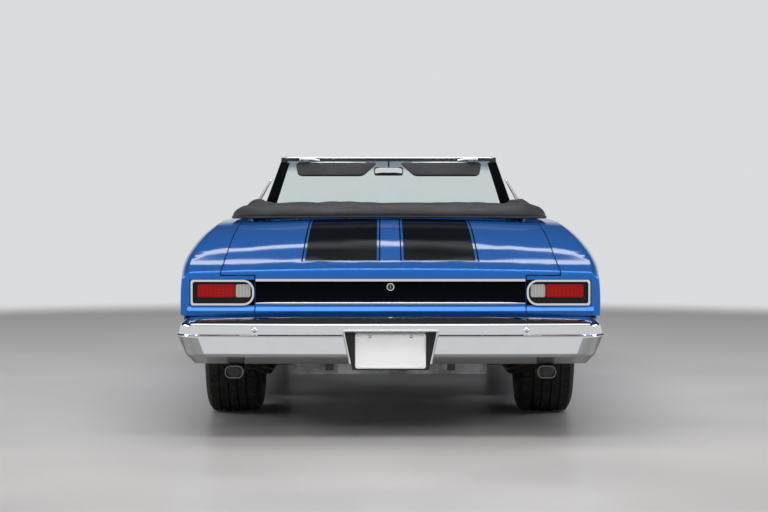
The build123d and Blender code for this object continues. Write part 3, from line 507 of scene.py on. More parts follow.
def rubber(name):
    # scuffed and dusty black over a fine grain
    finish = Finish(name, (0.014, 0.013, 0.012))
    scuff = finish.noise(24.0, 6.0).ramp(0.42, 0.70)
    dusty = finish.noise(7.0, 3.0).ramp(0.45, 0.75)
    finish.put("Base Color", finish.mix(scuff * 0.45 + dusty * 0.25, (0.012, 0.011, 0.010), (0.050, 0.045, 0.039)))
    finish.put("Roughness", scuff * 0.20 + 0.62)
    return finish.bump(finish.noise(900.0, 2.0), 0.0006, 0.35)


def vinyl(name, colour=(0.018, 0.018, 0.020), grain=0.0022, shine=0.40):
    # embossed leather grain from cell edges, with a worn sheen on top
    finish = Finish(name, colour, Sheen_Weight=0.04, Specular_IOR_Level=0.28)
    pores = finish.cells(1 / grain, "DISTANCE_TO_EDGE")
    worn = finish.noise(8.0, 5.0).ramp(0.40, 0.75)
    rubbed = tuple(min(1.0, value * 2.1 + 0.008) for value in colour)
    finish.put("Base Color", finish.mix(worn * 0.5, colour, rubbed))
    finish.put("Roughness", worn * 0.14 + shine)
    return finish.bump(pores.ramp(0.0, 0.16) + finish.noise(60.0, 3.0) * 0.6, 0.0006, 0.5)


def carpet(name, colour=(0.014, 0.014, 0.016), under=(0.02, 0.02, 0.02)):
    # looped pile on faces that look up, black underseal on those that look down
    finish = Finish(name, colour, 0.95)
    loops = finish.cells(340.0)
    pile = finish.noise(60.0, 4.0)
    lit = finish.axis("Z", finish.facing).above(-0.3)
    woven = finish.mix(loops.ramp(0.1, 0.7) * 0.6 + pile * 0.3, colour, (0.05, 0.05, 0.054))
    finish.put("Base Color", finish.mix(lit, under, woven))
    return finish.bump(loops, 0.004, 0.6)


def glassPane(name, clear=(0.86, 0.94, 0.93), band=(0.30, 0.38, 0.44), bandLowZ=None, bandHighZ=None):
    # clear pane with faint streaks, shaded along its upper edge where a band is given
    finish = Finish(name, clear, 0.02, IOR=1.45, Transmission_Weight=1.0)
    streak = finish.noise(5.0, 4.0, stretch=(1.0, 1.0, 3.0)).ramp(0.5, 0.8)
    if bandLowZ is not None:
        shade = finish.axis("Z").ramp(bandLowZ, bandHighZ)
        finish.put("Base Color", finish.mix(shade, clear, band))
    return finish.put("Roughness", streak * 0.02 + 0.01)


def lampLens(name, colour, paintedGlow=0.0, ribPitch=0.008, across="Z", clear=0.35):
    # moulded acrylic with prism ribs; paintedGlow, where given, is a faint painted glow standing in for light caught
    # in the lens
    finish = Finish(name, colour, 0.16, IOR=1.49, Transmission_Weight=clear, Specular_IOR_Level=0.22)
    ribs = finish.axis(across).wave(ribPitch)
    cells = finish.axis("X").wave(ribPitch * 2.2)
    dark = tuple(value * 0.45 for value in colour)
    finish.put("Base Color", finish.mix(ribs * 0.6 + cells * 0.3, colour, dark))
    finish.put("Emission Color", finish.mix(ribs * 0.5, colour, dark))
    finish.put("Emission Strength", paintedGlow)
    return finish.bump(ribs + cells * 0.5, 0.0010, 0.3)


def galvanised(name):
    # zinc spangle: the grey of each cell's own colour, under grime
    finish = Finish(name, (0.42, 0.42, 0.42), metallic=0.75)
    spangle = finish.cells(34.0, output=1)
    grey = finish.node("ShaderNodeRGBToBW", None, {0: spangle})
    grime = finish.noise(6.0, 5.0).ramp(0.45, 0.75)
    zinc = finish.mix(grey * 0.6, (0.50, 0.50, 0.50), (0.30, 0.31, 0.32))
    finish.put("Base Color", finish.mix(grime * 0.5, zinc, (0.10, 0.09, 0.08)))
    return finish.put("Roughness", grey * 0.2 + grime * 0.2 + 0.35)


def platePaint(name):
    # white enamel with a few smears
    finish = Finish(name, (0.90, 0.90, 0.89), 0.35, Coat_Weight=0.3)
    smear = finish.noise(18.0, 5.0).ramp(0.5, 0.8)
    finish.put("Base Color", finish.mix(smear * 0.12, (0.90, 0.90, 0.89), (0.70, 0.69, 0.66)))
    return finish.put("Roughness", smear * 0.2 + 0.3)


def heatedSteel(name):
    # steel blued by heat, with rust in patches
    finish = Finish(name, (0.20, 0.19, 0.18), metallic=0.9)
    blued = finish.noise(3.0, 4.0).ramp(0.35, 0.70)
    rust = finish.noise(22.0, 6.0).ramp(0.55, 0.72)
    colour = finish.mix(blued * 0.7, (0.22, 0.21, 0.20), (0.12, 0.10, 0.08))
    finish.put("Base Color", finish.mix(rust * 0.6, colour, (0.10, 0.045, 0.02)))
    finish.put("Roughness", rust * 0.35 + 0.32)
    return finish.bump(finish.noise(200.0, 3.0), 0.0005, 0.25)


finishes = {
    "paint": bodyPaint("bluePaint"),
    "stripedPaint": bodyPaint("stripedBluePaint", stripes=True),
    "lidPaint": bodyPaint("stripedLidPaint", stripes=True, cove=True),
    "quarterPaint": bodyPaint("quarterBluePaint", lampSurround=True),
    "chrome": chromePlate("brightChrome"),
    "mirror": chromePlate("mirrorSilver", (0.86, 0.87, 0.88), 0.02),
    "bezel": lampBezel("lampBezel"),
    "trim": satinBlack("trimBlack"),
    "chassis": satinBlack("chassisBlack", roughness=0.5, grain=260.0, relief=0.5),
    "rubber": rubber("tyreRubber"),
    "vinyl": vinyl("blackVinyl"),
    "bootVinyl": vinyl("bootVinyl", (0.014, 0.014, 0.017), 0.0030, 0.40),
    "carpet": carpet("blackCarpet"),
    "glass": glassPane("tintedGlass", bandLowZ=1.165, bandHighZ=1.215),
    "sideGlass": glassPane("clearGlass"),
    # the red lens gets a faint painted glow: emission that stands in for light, not a lit lamp
    "redLens": lampLens("redLens", (0.36, 0.004, 0.004), paintedGlow=0.07, clear=0.0),
    "whiteLens": lampLens("whiteLens", (0.70, 0.67, 0.65), ribPitch=0.006, across="X"),
    "tank": galvanised("tankSteel"),
    "plate": platePaint("plateWhite"),
    "exhaust": heatedSteel("exhaustSteel"),
    "iron": castMetal("castIron", (0.13, 0.13, 0.135)),
    "engine": castMetal("engineEnamel", (0.050, 0.050, 0.053), 0.42, 0.2, 180.0, 0.45),
    "alloy": castMetal("wheelSilver", (0.50, 0.51, 0.52), 0.30, 0.85, 300.0, 0.18),
    "lampGlass": lampLens("headlampGlass", (0.80, 0.82, 0.83), ribPitch=0.011, across="X", clear=0.55),
}
cadFinish = {
    "paint": ("fender_left", "fender_right", "door_left", "door_right", "rockers", "nose_panel", "inner_fenders"),
    "stripedPaint": ("hood", "cowl", "tulip_panel"), "lidPaint": ("deck_lid",),
    "quarterPaint": ("quarter_left", "quarter_right", "tail_panel"),
    "chrome": ("rear_bumper", "front_bumper", "headlamp_bezels"), "bezel": ("tail_lamp_bezels",),
    "trim": ("grille", "plate_pocket", "windshield_frame", "steering_column", "steering_wheel", "seat_bases",
             "console", "dashboard", "sun_visors", "inside_mirror"),
    "chassis": ("frame", "front_arms"),
    "rubber": ("tyre_front_left", "tyre_front_right", "tyre_rear_left", "tyre_rear_right"),
    "vinyl": ("seat_cushions", "seat_backs", "rear_cushion", "rear_back"), "bootVinyl": ("boot_cover",),
    "carpet": ("floor_pan",), "glass": ("windshield_glass",),
    "sideGlass": ("vent_window_left", "vent_window_right"), "redLens": ("tail_lamp_lenses",),
    "whiteLens": ("reverse_lenses",), "tank": ("fuel_tank",), "plate": ("blank_plate",), "exhaust": ("exhaust",),
    "iron": ("driveline", "rear_axle", "knuckle_left", "knuckle_right"), "engine": ("engine_block",),
    "alloy": ("rim_front_left", "rim_front_right", "rim_rear_left", "rim_rear_right"), "lampGlass": ("headlamps",),
}


def smoothGroup(limit):
    # joins the loose triangles and shades them smooth, with edges sharper than the limit left hard
    group = bpy.data.node_groups.new("smoothPanels", "GeometryNodeTree")
    group.interface.new_socket("Geometry", in_out="INPUT", socket_type="NodeSocketGeometry")
    group.interface.new_socket("Geometry", in_out="OUTPUT", socket_type="NodeSocketGeometry")
    start, end = group.nodes.new("NodeGroupInput"), group.nodes.new("NodeGroupOutput")
    weld = group.nodes.new("GeometryNodeMergeByDistance")
    weld.inputs["Distance"].default_value = 1e-5
    faces, edges = group.nodes.new("GeometryNodeSetShadeSmooth"), group.nodes.new("GeometryNodeSetShadeSmooth")
    faces.domain, edges.domain = "FACE", "EDGE"
    edges.inputs["Shade Smooth"].default_value = False
    angle = group.nodes.new("GeometryNodeInputMeshEdgeAngle")
    compare = group.nodes.new("FunctionNodeCompare")
    compare.operation = "GREATER_THAN"
    compare.inputs["B"].default_value = np.radians(limit)
    for first, second in ((start.outputs[0], weld.inputs[0]), (weld.outputs[0], faces.inputs[0]),
                          (faces.outputs[0], edges.inputs[0]), (edges.outputs[0], end.inputs[0]),
                          (angle.outputs[0], compare.inputs["A"]), (compare.outputs[0], edges.inputs["Selection"])):
        group.links.new(first, second)
    return group


panelGroup = smoothGroup(24)
for finishName, nodeNames in cadFinish.items():
    for nodeName in nodeNames:
        panel = nodes[nodeName]
        panel.data.materials.clear()
        panel.data.materials.append(finishes[finishName].material)
        smoothing = panel.modifiers.new("smoothPanels", "NODES")
        smoothing.node_group = panelGroup
        weighted = panel.modifiers.new("weightedNormals", "WEIGHTED_NORMAL")
        weighted.keep_sharp = True
print("finishes on", sum(len(names) for names in cadFinish.values()), "nodes")

# camera, floor and light
view = {"place": (-0.037, -11.5, 1.1), "pitch": 88.053, "yaw": -0.056, "lens": 98.3}
camera = placed("camera", bpy.data.cameras.new("camera"))
camera.location = view["place"]
camera.rotation_euler = (np.radians(view["pitch"]), 0.0, np.radians(view["yaw"]))
camera.data.lens, camera.data.sensor_width = view["lens"], 36.0
bpy.context.scene.camera = camera
bpy.context.scene.view_settings.view_transform = "Standard"

studio = {"floorReach": 70.0, "fadeStart": 6.6, "fadeEnd": 8.6, "floorColour": (0.40, 0.387, 0.378),
          "floorPale": (0.45, 0.436, 0.425), "mirroredFloorShade": (0.13, 0.125, 0.12), "backdrop": (0.70, 0.71, 0.725),
          "ceiling": (0.028, 0.032, 0.040), "ceilingFrom": 0.39, "ceilingTo": 0.47, "ceilingLean": 0.32,
          "fillColour": (0.92, 0.95, 1.0), "fill": 0.45}
floorFinish = Finish("studioFloor", studio["floorColour"])
stain = floorFinish.noise(0.9, 6.0).ramp(0.35, 0.7)
pale = floorFinish.mix(stain * 0.5, studio["floorColour"], studio["floorPale"])
seenRay, glossyRay = floorFinish.seenRays()
# seen in mirror images the floor takes a darker colour: painted shade on its reflections in the car
floorFinish.put("Base Color", floorFinish.mix(glossyRay, pale, studio["mirroredFloorShade"]))
floorFinish.put("Roughness", stain * 0.08 + 0.30)
distance = floorFinish.node("ShaderNodeVectorMath", {"operation": "LENGTH"}, {0: floorFinish.spot}, 1)
fade = distance.ramp(studio["fadeStart"], studio["fadeEnd"]) * seenRay  # the floor turns into the wall far out
wall = floorFinish.node("ShaderNodeEmission", None, {"Color": studio["backdrop"], "Strength": 1.0})
floorFinish.surface(fade, floorFinish.shaded, wall)
border = disc(96, studio["floorReach"])
floorRings = np.linspace(1.0, 0.05, 6)[:, None, None] * border[None]
floorGrid = pointsAt(floorRings[..., 0], floorRings[..., 1], 0.0)
floorPoints, floorQuads, floorFans = gridShape(floorGrid, closeV=True, capEnd=True)
floorMesh = bpy.data.meshes.new("floor")
floorMesh.from_pydata(floorPoints.tolist(), [], floorQuads.tolist() + floorFans.tolist())
floorMesh.materials.append(floorFinish.material)
floorObject = placed("floor", floorMesh)

world = bpy.data.worlds.new("studio")
bpy.context.scene.world = world
world.use_nodes = True
sky = Shading(world.node_tree)
direction = sky.node("ShaderNodeTexCoord", output="Generated")
# the wall reaches higher behind the camera than ahead of the car, and turns to a darker ceiling with height
height = sky.axis("Y", direction) * studio["ceilingLean"] + sky.axis("Z", direction)
rising = sky.node("ShaderNodeMapRange", None,
                  {"Value": height, "From Min": studio["ceilingFrom"], "From Max": studio["ceilingTo"]})
seenRay, glossyRay = sky.seenRays()
room = sky.mix(rising * glossyRay, studio["backdrop"], studio["ceiling"])  # seen straight, the wall is plain
seen = sky.node("ShaderNodeBackground", None, {"Color": room})
fill = world.node_tree.nodes["Background"]
sky.feed(fill.inputs["Color"], studio["fillColour"])
sky.feed(fill.inputs["Strength"], studio["fill"])
sky.surface(seenRay, Field(sky, fill.outputs[0]), seen, "World Output")

# name, place, aimed at, width, depth, watts, seen in mirror images
softBoxes = (
    ("overCabin", (0.0, 0.4, 6.0), (0.0, 0.2, 0.0), 7.0, 2.6, 260, True),
    ("overTail", (0.0, -4.4, 6.0), (0.0, -3.6, 0.0), 7.0, 2.2, 230, True),
    ("behindCamera", (0.0, -12.0, 6.5), (0.0, -1.5, 0.6), 9.0, 3.0, 420, False),
    ("leftBank", (-7.0, -3.0, 4.2), (0.0, -1.0, 0.7), 6.0, 1.6, 170, True),
    ("rightBank", (7.0, -3.0, 4.2), (0.0, -1.0, 0.7), 6.0, 1.6, 170, True),
    ("frontBank", (0.0, 10.0, 8.0), (0.0, 1.5, 0.6), 8.0, 2.0, 150, False),
    ("deckLine", (0.0, 10.5, 5.9), (0.0, -2.0, 0.8), 5.2, 0.16, 6, True),
)
for boxName, place, aim, wide, deep, watts, mirroredToo in softBoxes:
    lamp = bpy.data.lights.new(boxName, "AREA")
    lamp.shape, lamp.size, lamp.size_y, lamp.energy = "RECTANGLE", wide, deep, watts
    lampObject = placed(boxName, lamp)
    lampObject.location = place
    lampObject.visible_glossy = mirroredToo
    lampObject.rotation_euler = (Vector(aim) - Vector(place)).to_track_quat("-Z", "Y").to_euler()
print("camera, floor and", len(softBoxes), "lights set")

# tyres
tread = {"pitches": 66, "slotShare": 0.16, "slotDepth": 0.0055, "slant": 0.16, "grooveWide": 0.0085,
         "grooveDepth": 0.0075, "grooveAt": (-0.24, -0.08, 0.08, 0.24), "grooveEdge": 0.0008, "shoulder": 0.024,
         "crown": 0.003, "beadRadius": 0.195, "bulge": 0.022}


def tyreShape(centreX, axleY, radius, wide, outward):
    # profile from bead to bead (side, radius) spun round the axle; slots cut where a saw tooth of the turn is low,
    # and the turn is slanted across the tread so that the grid follows the slots
    half, bead, pitches = wide / 2, tread["beadRadius"], tread["pitches"]
    shoulder = half - tread["shoulder"]
    rise = np.linspace(0, 1, 9)  # up the side wall
    wallSide = (half - tread["bulge"] * (1 - np.clip(rise / 0.35, 0, 1)) ** 2
                - tread["shoulder"] * np.clip((rise - 0.62) / 0.38, 0, 1) ** 2.4)
    wallRadius = bead + (radius - 2 * tread["crown"] - bead) * rise
    wallRadius[-1] = radius - tread["crown"]
    middles, halfGroove = np.array(tread["grooveAt"]) * wide, tread["grooveWide"] / 2
    bottom = halfGroove - tread["grooveEdge"]
    cuts = (middles + np.array(((-halfGroove,), (-bottom,), (bottom,), (halfGroove,)))).ravel()
    plain = np.linspace(-shoulder, shoulder, 11)[1:-1]
    plain = plain[np.min(np.abs(plain[:, None] - middles), 1) > tread["grooveWide"]]
    top = np.sort(np.concatenate([cuts, plain]))
    inGroove = np.min(np.abs(top[:, None] - middles), 1) < halfGroove - tread["grooveEdge"] / 2
    topRadius = radius - tread["crown"] * (top / shoulder) ** 2 - tread["grooveDepth"] * inGroove
    side = np.concatenate([-wallSide, top, wallSide[::-1]])
    height = np.concatenate([wallRadius, topRadius, wallRadius[::-1]])
    share = tread["slotShare"]
    corner = np.array((0.0, 0.04, share, share + 0.04, 0.5, 0.54, 0.5 + 0.4 * share, 0.54 + 0.4 * share))
    deepAt = np.tile((0, 1, 1, 0, 0, 0.55, 0.55, 0), pitches)  # a long slot, then a short one
    turn = (np.arange(pitches)[:, None] + corner).ravel() / pitches * 2 * np.pi
    outer = np.clip((np.abs(side) - 0.26 * wide) / 0.004, 0, 1) * (height > radius - 0.035)
    inner = 0.35 * (np.abs(side) < 0.22 * wide) * (height > radius - 0.0035)
    reach = height - deepAt[:, None] * tread["slotDepth"] * (outer + inner)
    angle = turn[:, None] + tread["slant"] * side / wide
    points = pointsAt(centreX + outward * side, axleY + reach * np.sin(angle), radius + reach * np.cos(angle))
    return gridShape(points, closeU=True)


for end, axleY in (("rear", rearAxleY), ("front", frontAxleY)):
    for sideName, sign in sides:
        low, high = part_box(f"tyre_{end}_{sideName}")
        tyre = tyreShape((low.x + high.x) / 2, axleY, (high.z - low.z) / 2, high.x - low.x, sign)
        piece(f"tyre_tread_{end}_{sideName}", tyre, "rubber", f"wheel_{end}_{sideName}",
              (f"tyre_{end}_{sideName}",), sharp=32)
print("tyres cut")

# boot cover: a vinyl sheet over the folded top, round the back and both sides of the cabin
boot = {"legX": 0.655, "rearY": -0.975, "frontY": -0.650, "corner": 0.08, "halfLeg": 0.115, "halfRear": 0.140,
        "edgeZ": 0.935, "crown": 0.006, "halfWide": 0.77, "rise": 0.068, "along": 260, "across": 40,
        "fold": 0.0062, "hump": 0.036, "humpY": -0.745, "humpWide": 0.075, "endRun": 0.10, "cabinY": -0.55,
        "wall": 0.003, "welt": 0.006}


def bootPath():
    # half a U in plan: straight leg, quarter round, straight back; mirrored to the other side and spaced evenly
    legX, rearY, corner = boot["legX"], boot["rearY"], boot["corner"]
    turn = np.linspace(0, np.pi / 2, 24)[1:]
    leg = pointsAt(legX, np.linspace(boot["frontY"], rearY + corner, 30))
    bend = pointsAt(legX - corner + corner * np.cos(turn), rearY + corner - corner * np.sin(turn))
    back = pointsAt(np.linspace(bend[-1, 0], 0, 40)[1:], rearY)
    right = np.vstack([leg, bend, back])
    whole = np.vstack([right, (right * (-1, 1))[-2::-1]])
    run = runAlong(whole)
    even = np.linspace(0, run[-1], boot["along"])
    return spaced(whole, run, even), even


def bootSheet():
    # an arch across the U, sunk to the body at both edges, with gathers that run across it and long slack folds
    path, run = bootPath()
    tangent = unit(np.gradient(path, axis=0))
    outward = np.stack([tangent[:, 1], -tangent[:, 0]], -1)
    outward *= np.sign((outward * (path - (0, boot["cabinY"]))).sum(1))[:, None]
    backness = np.clip((boot["frontY"] - 0.05 - path[:, 1]) / 0.25, 0, 1)  # 0 on the legs, 1 along the back
    half = boot["halfLeg"] + (boot["halfRear"] - boot["halfLeg"]) * backness
    v = np.linspace(-1, 1, boot["across"])
    nose = np.clip(np.minimum(run, run[-1] - run) / boot["endRun"], 0, 1) ** 0.5
    arch = (1 - np.abs(v) ** 2.6) ** 0.55
    plan = path[:, None] + (half * (0.55 + 0.45 * nose))[:, None, None] * v[None, :, None] * outward[:, None]
    crown = boot["edgeZ"] + boot["crown"] * (1 - (path[:, 0] / boot["halfWide"]) ** 2)
    z = crown[:, None] + boot["rise"] * (nose * (0.72 + 0.28 * backness))[:, None] * arch
    hinge = np.exp(-((path[:, 1] - boot["humpY"]) / boot["humpWide"]) ** 2)[:, None]  # folded hinges lift each leg
    z = z + boot["hump"] * hinge * (1 - v ** 2) ** 2
    s = run[:, None]
    gather = np.sin(61 * s + 2.2 * np.sin(3.1 * v + 1.7 * s)) * np.exp(-((v - 0.55) / 0.35) ** 2)
    slack = np.sin(9.5 * s + 5.5 * v + 1.4 * np.sin(4.0 * s)) * np.sin(3.3 * s + 0.6)
    crease = np.abs(np.sin(5.2 * s - 3.4 * v + 0.9)) ** 6
    z = z + boot["fold"] * (0.45 * gather + 0.9 * slack - 1.3 * crease) * arch
    return np.concatenate([plan, z[..., None]], -1)


sheetPoints = bootSheet()
bootCover = piece("boot_cover_sheet", gridShape(sheetPoints), "bootVinyl", replaced=("boot_cover",), sharp=60,
                  solid=False)
thickness = bootCover.modifiers.new("thickness", "SOLIDIFY")
thickness.thickness, thickness.offset = boot["wall"], -1.0
piece("boot_cover_welt", [rod(sheetPoints[:, edge], boot["welt"], 8) for edge in (0, -1)], "bootVinyl")

# tail trim: two bright strips across the black panel, round lock cover
tail = {"stripHalf": 0.584, "upperZ": 0.6865, "upperDip": 0.002, "lowerZ": 0.5860, "stripWide": 0.0125,
        "stripProud": 0.0055, "lockZ": 0.657, "lockDip": 0.012, "slotDip": 0.0056}
rearward = (0, -1, 0)
stripX = np.linspace(-tail["stripHalf"], tail["stripHalf"], 25)
tailStrips = [moulding(pointsAt(stripX, tailY + dip, z), tail["stripWide"], tail["stripProud"])
              for z, dip in ((tail["upperZ"], tail["upperDip"]), (tail["lowerZ"], 0.0))]
# a wedge fills the cove's upper corner
wedge = np.array([(0.004, -0.004), (0.004, 0.007), (-0.010, 0.007), (-0.014, -0.003)])
tailStrips.append(strip(pointsAt(stripX, tailY, tail["upperZ"] - 0.001), wedge))
piece("tail_strips", tailStrips, "chrome", "deck_lid")
lockSpot = (0, tailY + tail["lockDip"], tail["lockZ"])
lockRim = ((-0.010, 0.0175), (0.004, 0.0175), (0.0060, 0.0165), (0.0060, 0.0135), (0.0040, 0.0128))
lockFace = ((-0.004, 0.0122), (0.0045, 0.0122), (0.0058, 0.0095), (0.0062, 0.0025))
lockSlot = pebble((0, tailY + tail["slotDip"], tail["lockZ"]), (0.0013, 0.0010, 0.0055))
piece("lock_cover", turned(lockRim, lockSpot, rearward, 40), "chrome", "deck_lid")
piece("lock_face", turned(lockFace, lockSpot, rearward, 32), "trim", "deck_lid")
piece("lock_slot", lockSlot, "chrome", "deck_lid")

# rear bumper: one section with a shelf, a band and a bulge, carried round the corners; its foot is drawn in towards
# the ends, and it leaves room for the plate
bumper = {"half": bumperHigh.x, "bend": 0.095, "faceBend": 0.05, "faceX": 0.380, "backset": 0.022, "wall": 0.008,
          "endTuck": 0.052, "tuckFrom": 0.80, "tuckRun": 0.15, "tuckTop": 0.123, "tuckTall": 0.109, "startX": -0.2,
          "roomLow": 0.171, "roomHigh": 0.203, "roomLowZ": 0.300, "roomHighZ": 0.470, "bracketX": 0.445,
          "bracketZ": 0.410, "boltX": 0.587, "boltZ": 0.474, "endBoltBack": 0.235, "endBoltUp": 0.105}
# inset from the face, height above the foot, corner radius
bumperSection = np.array(((0.046, 0.000, 0.002), (0.000, 0.037, 0.010), (0.0048, 0.118, 0.004),
                          (0.0078, 0.1215, 0.002), (0.019, 0.170, 0.008), (0.058, 0.202, 0.002)))
planCorners = np.array(((bumper["startX"], rearFaceY), (bumper["faceX"], rearFaceY),
                        (bumper["half"], rearFaceY + bumper["backset"]), (bumper["half"], bumperHigh.y)))
plan = softBend(planCorners, np.array(((bumper["faceBend"],), (bumper["bend"],))), 16)
planRun = runAlong(plan) + bumper["startX"]  # 0 at the middle of the car
evenRun = np.linspace(bumper["startX"] / 2, planRun[-1], 600)
plan = spaced(plan, planRun, evenRun)
kernel = np.ones(15) / 15  # a running mean softens the bends
plan[7:-7] = np.stack([np.convolve(column, kernel, "valid") for column in plan.T], -1)
planAhead = unit(np.gradient(plan, axis=0))
planIn = np.stack([-planAhead[:, 1], planAhead[:, 0]], -1)


def alongBumper(run, inset, height):
    # points on the right half: run along the path from the middle, inset towards the car, height above the foot
    tuck = (np.clip((run - bumper["tuckFrom"]) / bumper["tuckRun"], 0, 1)
            * np.clip((bumper["tuckTop"] - height) / bumper["tuckTall"], 0, 1))
    inward = inset + bumper["endTuck"] * tuck
    x, y, inX, inY = (np.interp(run, evenRun, column) for column in np.hstack([plan, planIn]).T)
    return pointsAt(x + inX * inward, y + inY * inward, bumperLow.z + height)


roomTop = bumper["roomHighZ"] - bumperLow.z
outer = softBend(bumperSection[:, :2], bumperSection[1:-1, 2:])
atRoomTop = (np.interp(roomTop, outer[:, 1], outer[:, 0]), roomTop)
outer = np.insert(outer, np.searchsorted(outer[:, 1], roomTop), atRoomTop, axis=0)
slope = unit(np.gradient(outer, axis=0))
inner = outer + bumper["wall"] * np.stack([slope[:, 1], -slope[:, 0]], -1)
section = np.vstack([outer, inner[::-1]])
level = np.concatenate([outer[:, 1], outer[::-1, 1]])
roomX = np.interp(bumperLow.z + level, (bumper["roomLowZ"], bumper["roomHighZ"]),
                  (bumper["roomLow"], bumper["roomHigh"]))
wing = alongBumper(roomX + (evenRun[-1] - roomX) * np.linspace(0, 1, 150)[:, None], section[:, 0], section[:, 1])
closings = [gridShape(np.stack([wing[row, :len(outer)], wing[row, len(outer):][::-1]])) for row in (0, -1)]
bridgeEnd = wing[0, np.flatnonzero(level >= roomTop - 1e-9)]  # over the plate's room
bridge = pointsAt(bridgeEnd[:, 0] * np.linspace(1, -1, 13)[:, None], bridgeEnd[:, 1], bridgeEnd[:, 2])
bracket = slab(rectangle(0.025, 0.030), (bumper["bracketX"], rearFaceY, bumper["bracketZ"]), (-1, 0, 0), (0, 0, 1),
               bumper["wall"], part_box("plate_pocket")[1].y - rearFaceY, 0.002)
bumperHalf = joinShapes([gridShape(wing, closeV=True), *closings, bracket])
piece("rear_bumper_bar", [bothSides(bumperHalf), gridShape(bridge, closeV=True)], "chrome", replaced=("rear_bumper",),
      sharp=34)
boltDome = ((-0.003, 0.012), (0.001, 0.012), (0.004, 0.0095), (0.0055, 0.005), (0.006, 0.0015))
bolt = alongBumper(bumper["boltX"], 0.0135, bumper["boltZ"] - bumperLow.z)
endBolt = alongBumper(evenRun[-1] - bumper["endBoltBack"], 0.0062, bumper["endBoltUp"])
bumperBolts = [turned(boltDome, bolt, (0, -1, 0.25), 18), turned(boltDome, endBolt, (1, 0, 0.05), 18)]
piece("bumper_bolts", bothSides(joinShapes(bumperBolts)), "chrome")

# plate: raised border, bolts, and a bright trim round its recess
plate = {"inset": 0.005, "bead": 0.0022, "boltX": 0.089, "boltDown": 0.014}
recess = {"lowHalf": 0.1755, "highHalf": 0.2030, "lowZ": 0.329, "highZ": 0.4705, "back": 0.012}
plateMid, plateHalf = middleOf("blank_plate"), (plateHigh - plateLow) / 2
rim = disc(72, plateHalf.x - plate["inset"], plateHalf.z - plate["inset"], 9.0)
rim = pointsAt(rim[:, 0] + plateMid.x, plateLow.y, rim[:, 1] + plateMid.z)
piece("plate_border", hoop(rim, disc(8, plate["bead"]), (0, 1, 0)), "plate")
recessRim = pointsAt((-recess["lowHalf"], -recess["highHalf"], recess["highHalf"], recess["lowHalf"]),
                     rearFaceY + recess["back"], (recess["lowZ"], recess["highZ"], recess["highZ"], recess["lowZ"]))
recessTrim = [strip(np.linspace(start, end, 12), disc(12, 0.006, 0.013, 3.0), up=(0, 1, 0))
              for start, end in zip(recessRim[:-1], recessRim[1:])]
piece("plate_recess_trim", recessTrim, "chrome")
plateBolt = ((-0.002, 0.007), (0.002, 0.007), (0.004, 0.005), (0.0045, 0.0015))
plateBolts = [turned(plateBolt, (sign * plate["boltX"], plateLow.y, plateHigh.z - plate["boltDown"]), rearward, 16)
              for _, sign in sides]
piece("plate_bolts_pair", plateBolts, "chrome")
print("tail trim fitted")

# windshield: bright header strips, latches, pillar garnish, mirror glass, visor pads on rods
header = {"half": 0.581, "endY": 0.264, "midY": 0.349, "topZ": 1.255, "deep": 0.046, "rearDown": 0.006,
          "frontDown": 0.007, "stripProud": 0.004, "latchX": 0.47, "latchDown": 0.014}
latchPin = ((0, 0.007), (0.010, 0.007), (0.014, 0.004))
headerX = np.linspace(-header["half"], header["half"], 41)
headerFront, headerRear = ((header["half"], header["endY"] - back, header["midY"] - back)
                           for back in (0.0, header["deep"]))
rearEdge = pointsAt(headerX, bow(headerX, *headerRear), header["topZ"] - header["rearDown"])
frontEdge = pointsAt(headerX, bow(headerX, *headerFront), header["topZ"] - header["frontDown"])
piece("header_strips", [moulding(rearEdge, 0.011, header["stripProud"]),
                        moulding(frontEdge[::-1], 0.012, header["stripProud"])], "chrome")
latches = []
latchZ = header["topZ"] - header["latchDown"]
for _, sign in sides:
    x = sign * header["latchX"]
    y = bow(x, *headerRear)
    lever = np.array([(x - sign * 0.025, y - 0.020, latchZ), (x - sign * 0.05, y - 0.024, latchZ - 0.002),
                      (x - sign * 0.085, y - 0.022, latchZ - 0.008)])
    latches += [pebble((x, y - 0.010, latchZ), (0.030, 0.012, 0.010), 5.0),
                strip(lever, disc(12, 0.004, 0.008, 3.0), taper=(1, 1, 0.7)),
                turned(latchPin, (x + sign * 0.012, y - 0.018, latchZ), rearward, 14)]
piece("top_latches", latches, "chrome")
garnish = {"foot": (0.694, 0.618, 0.905), "head": (0.5605, 0.230, 1.222), "half": 0.0205, "thick": 0.008,
           "narrowing": 0.58}
garnishPath = np.linspace(garnish["foot"], garnish["head"], 12)  # on the cabin side of each pillar
garnishStrip = strip(garnishPath, disc(16, garnish["half"], garnish["thick"], 4.0), up=(0, 0.63, 0.77),
                     taper=1 - garnish["narrowing"] * np.linspace(0, 1, 12))
piece("pillar_garnish", bothSides(garnishStrip), "trim")
mirror = {"half": 0.075, "tall": 0.020, "up": 0.024}
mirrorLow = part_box("inside_mirror")[0]
mirrorFace = slab(disc(48, mirror["half"], mirror["tall"], 5.0), (0, mirrorLow.y, mirrorLow.z + mirror["up"]),
                  (1, 0, 0), (0, 0, 1), 0.001, -0.0015, 0.001)
piece("mirror_glass", mirrorFace, "mirror")
visor = {"place": (0, 0.2589, 1.2334), "lean": (0, 0.55, 1.0), "corner": 0.022, "thick": 0.020, "rodY": 0.262,
         "rod": 0.004, "mount": 0.006, "mountX": 0.307}
visorCorners = np.array(((0.062, -0.012), (0.520, -0.012), (0.505, -0.097), (0.140, -0.097), (0.098, -0.052)))
visorPad = pad(roundedCorners(visorCorners, visor["corner"]), visor["place"], (1, 0, 0), unit(visor["lean"]),
               visor["thick"], 4.0)
visors = piece("visor_pads", bothSides(visorPad), "vinyl", replaced=("sun_visors",))
visorRod = rod(pointsAt((0.13, 0.30, 0.505), visor["rodY"], (1.2225, 1.2245, 1.2225)), visor["rod"])
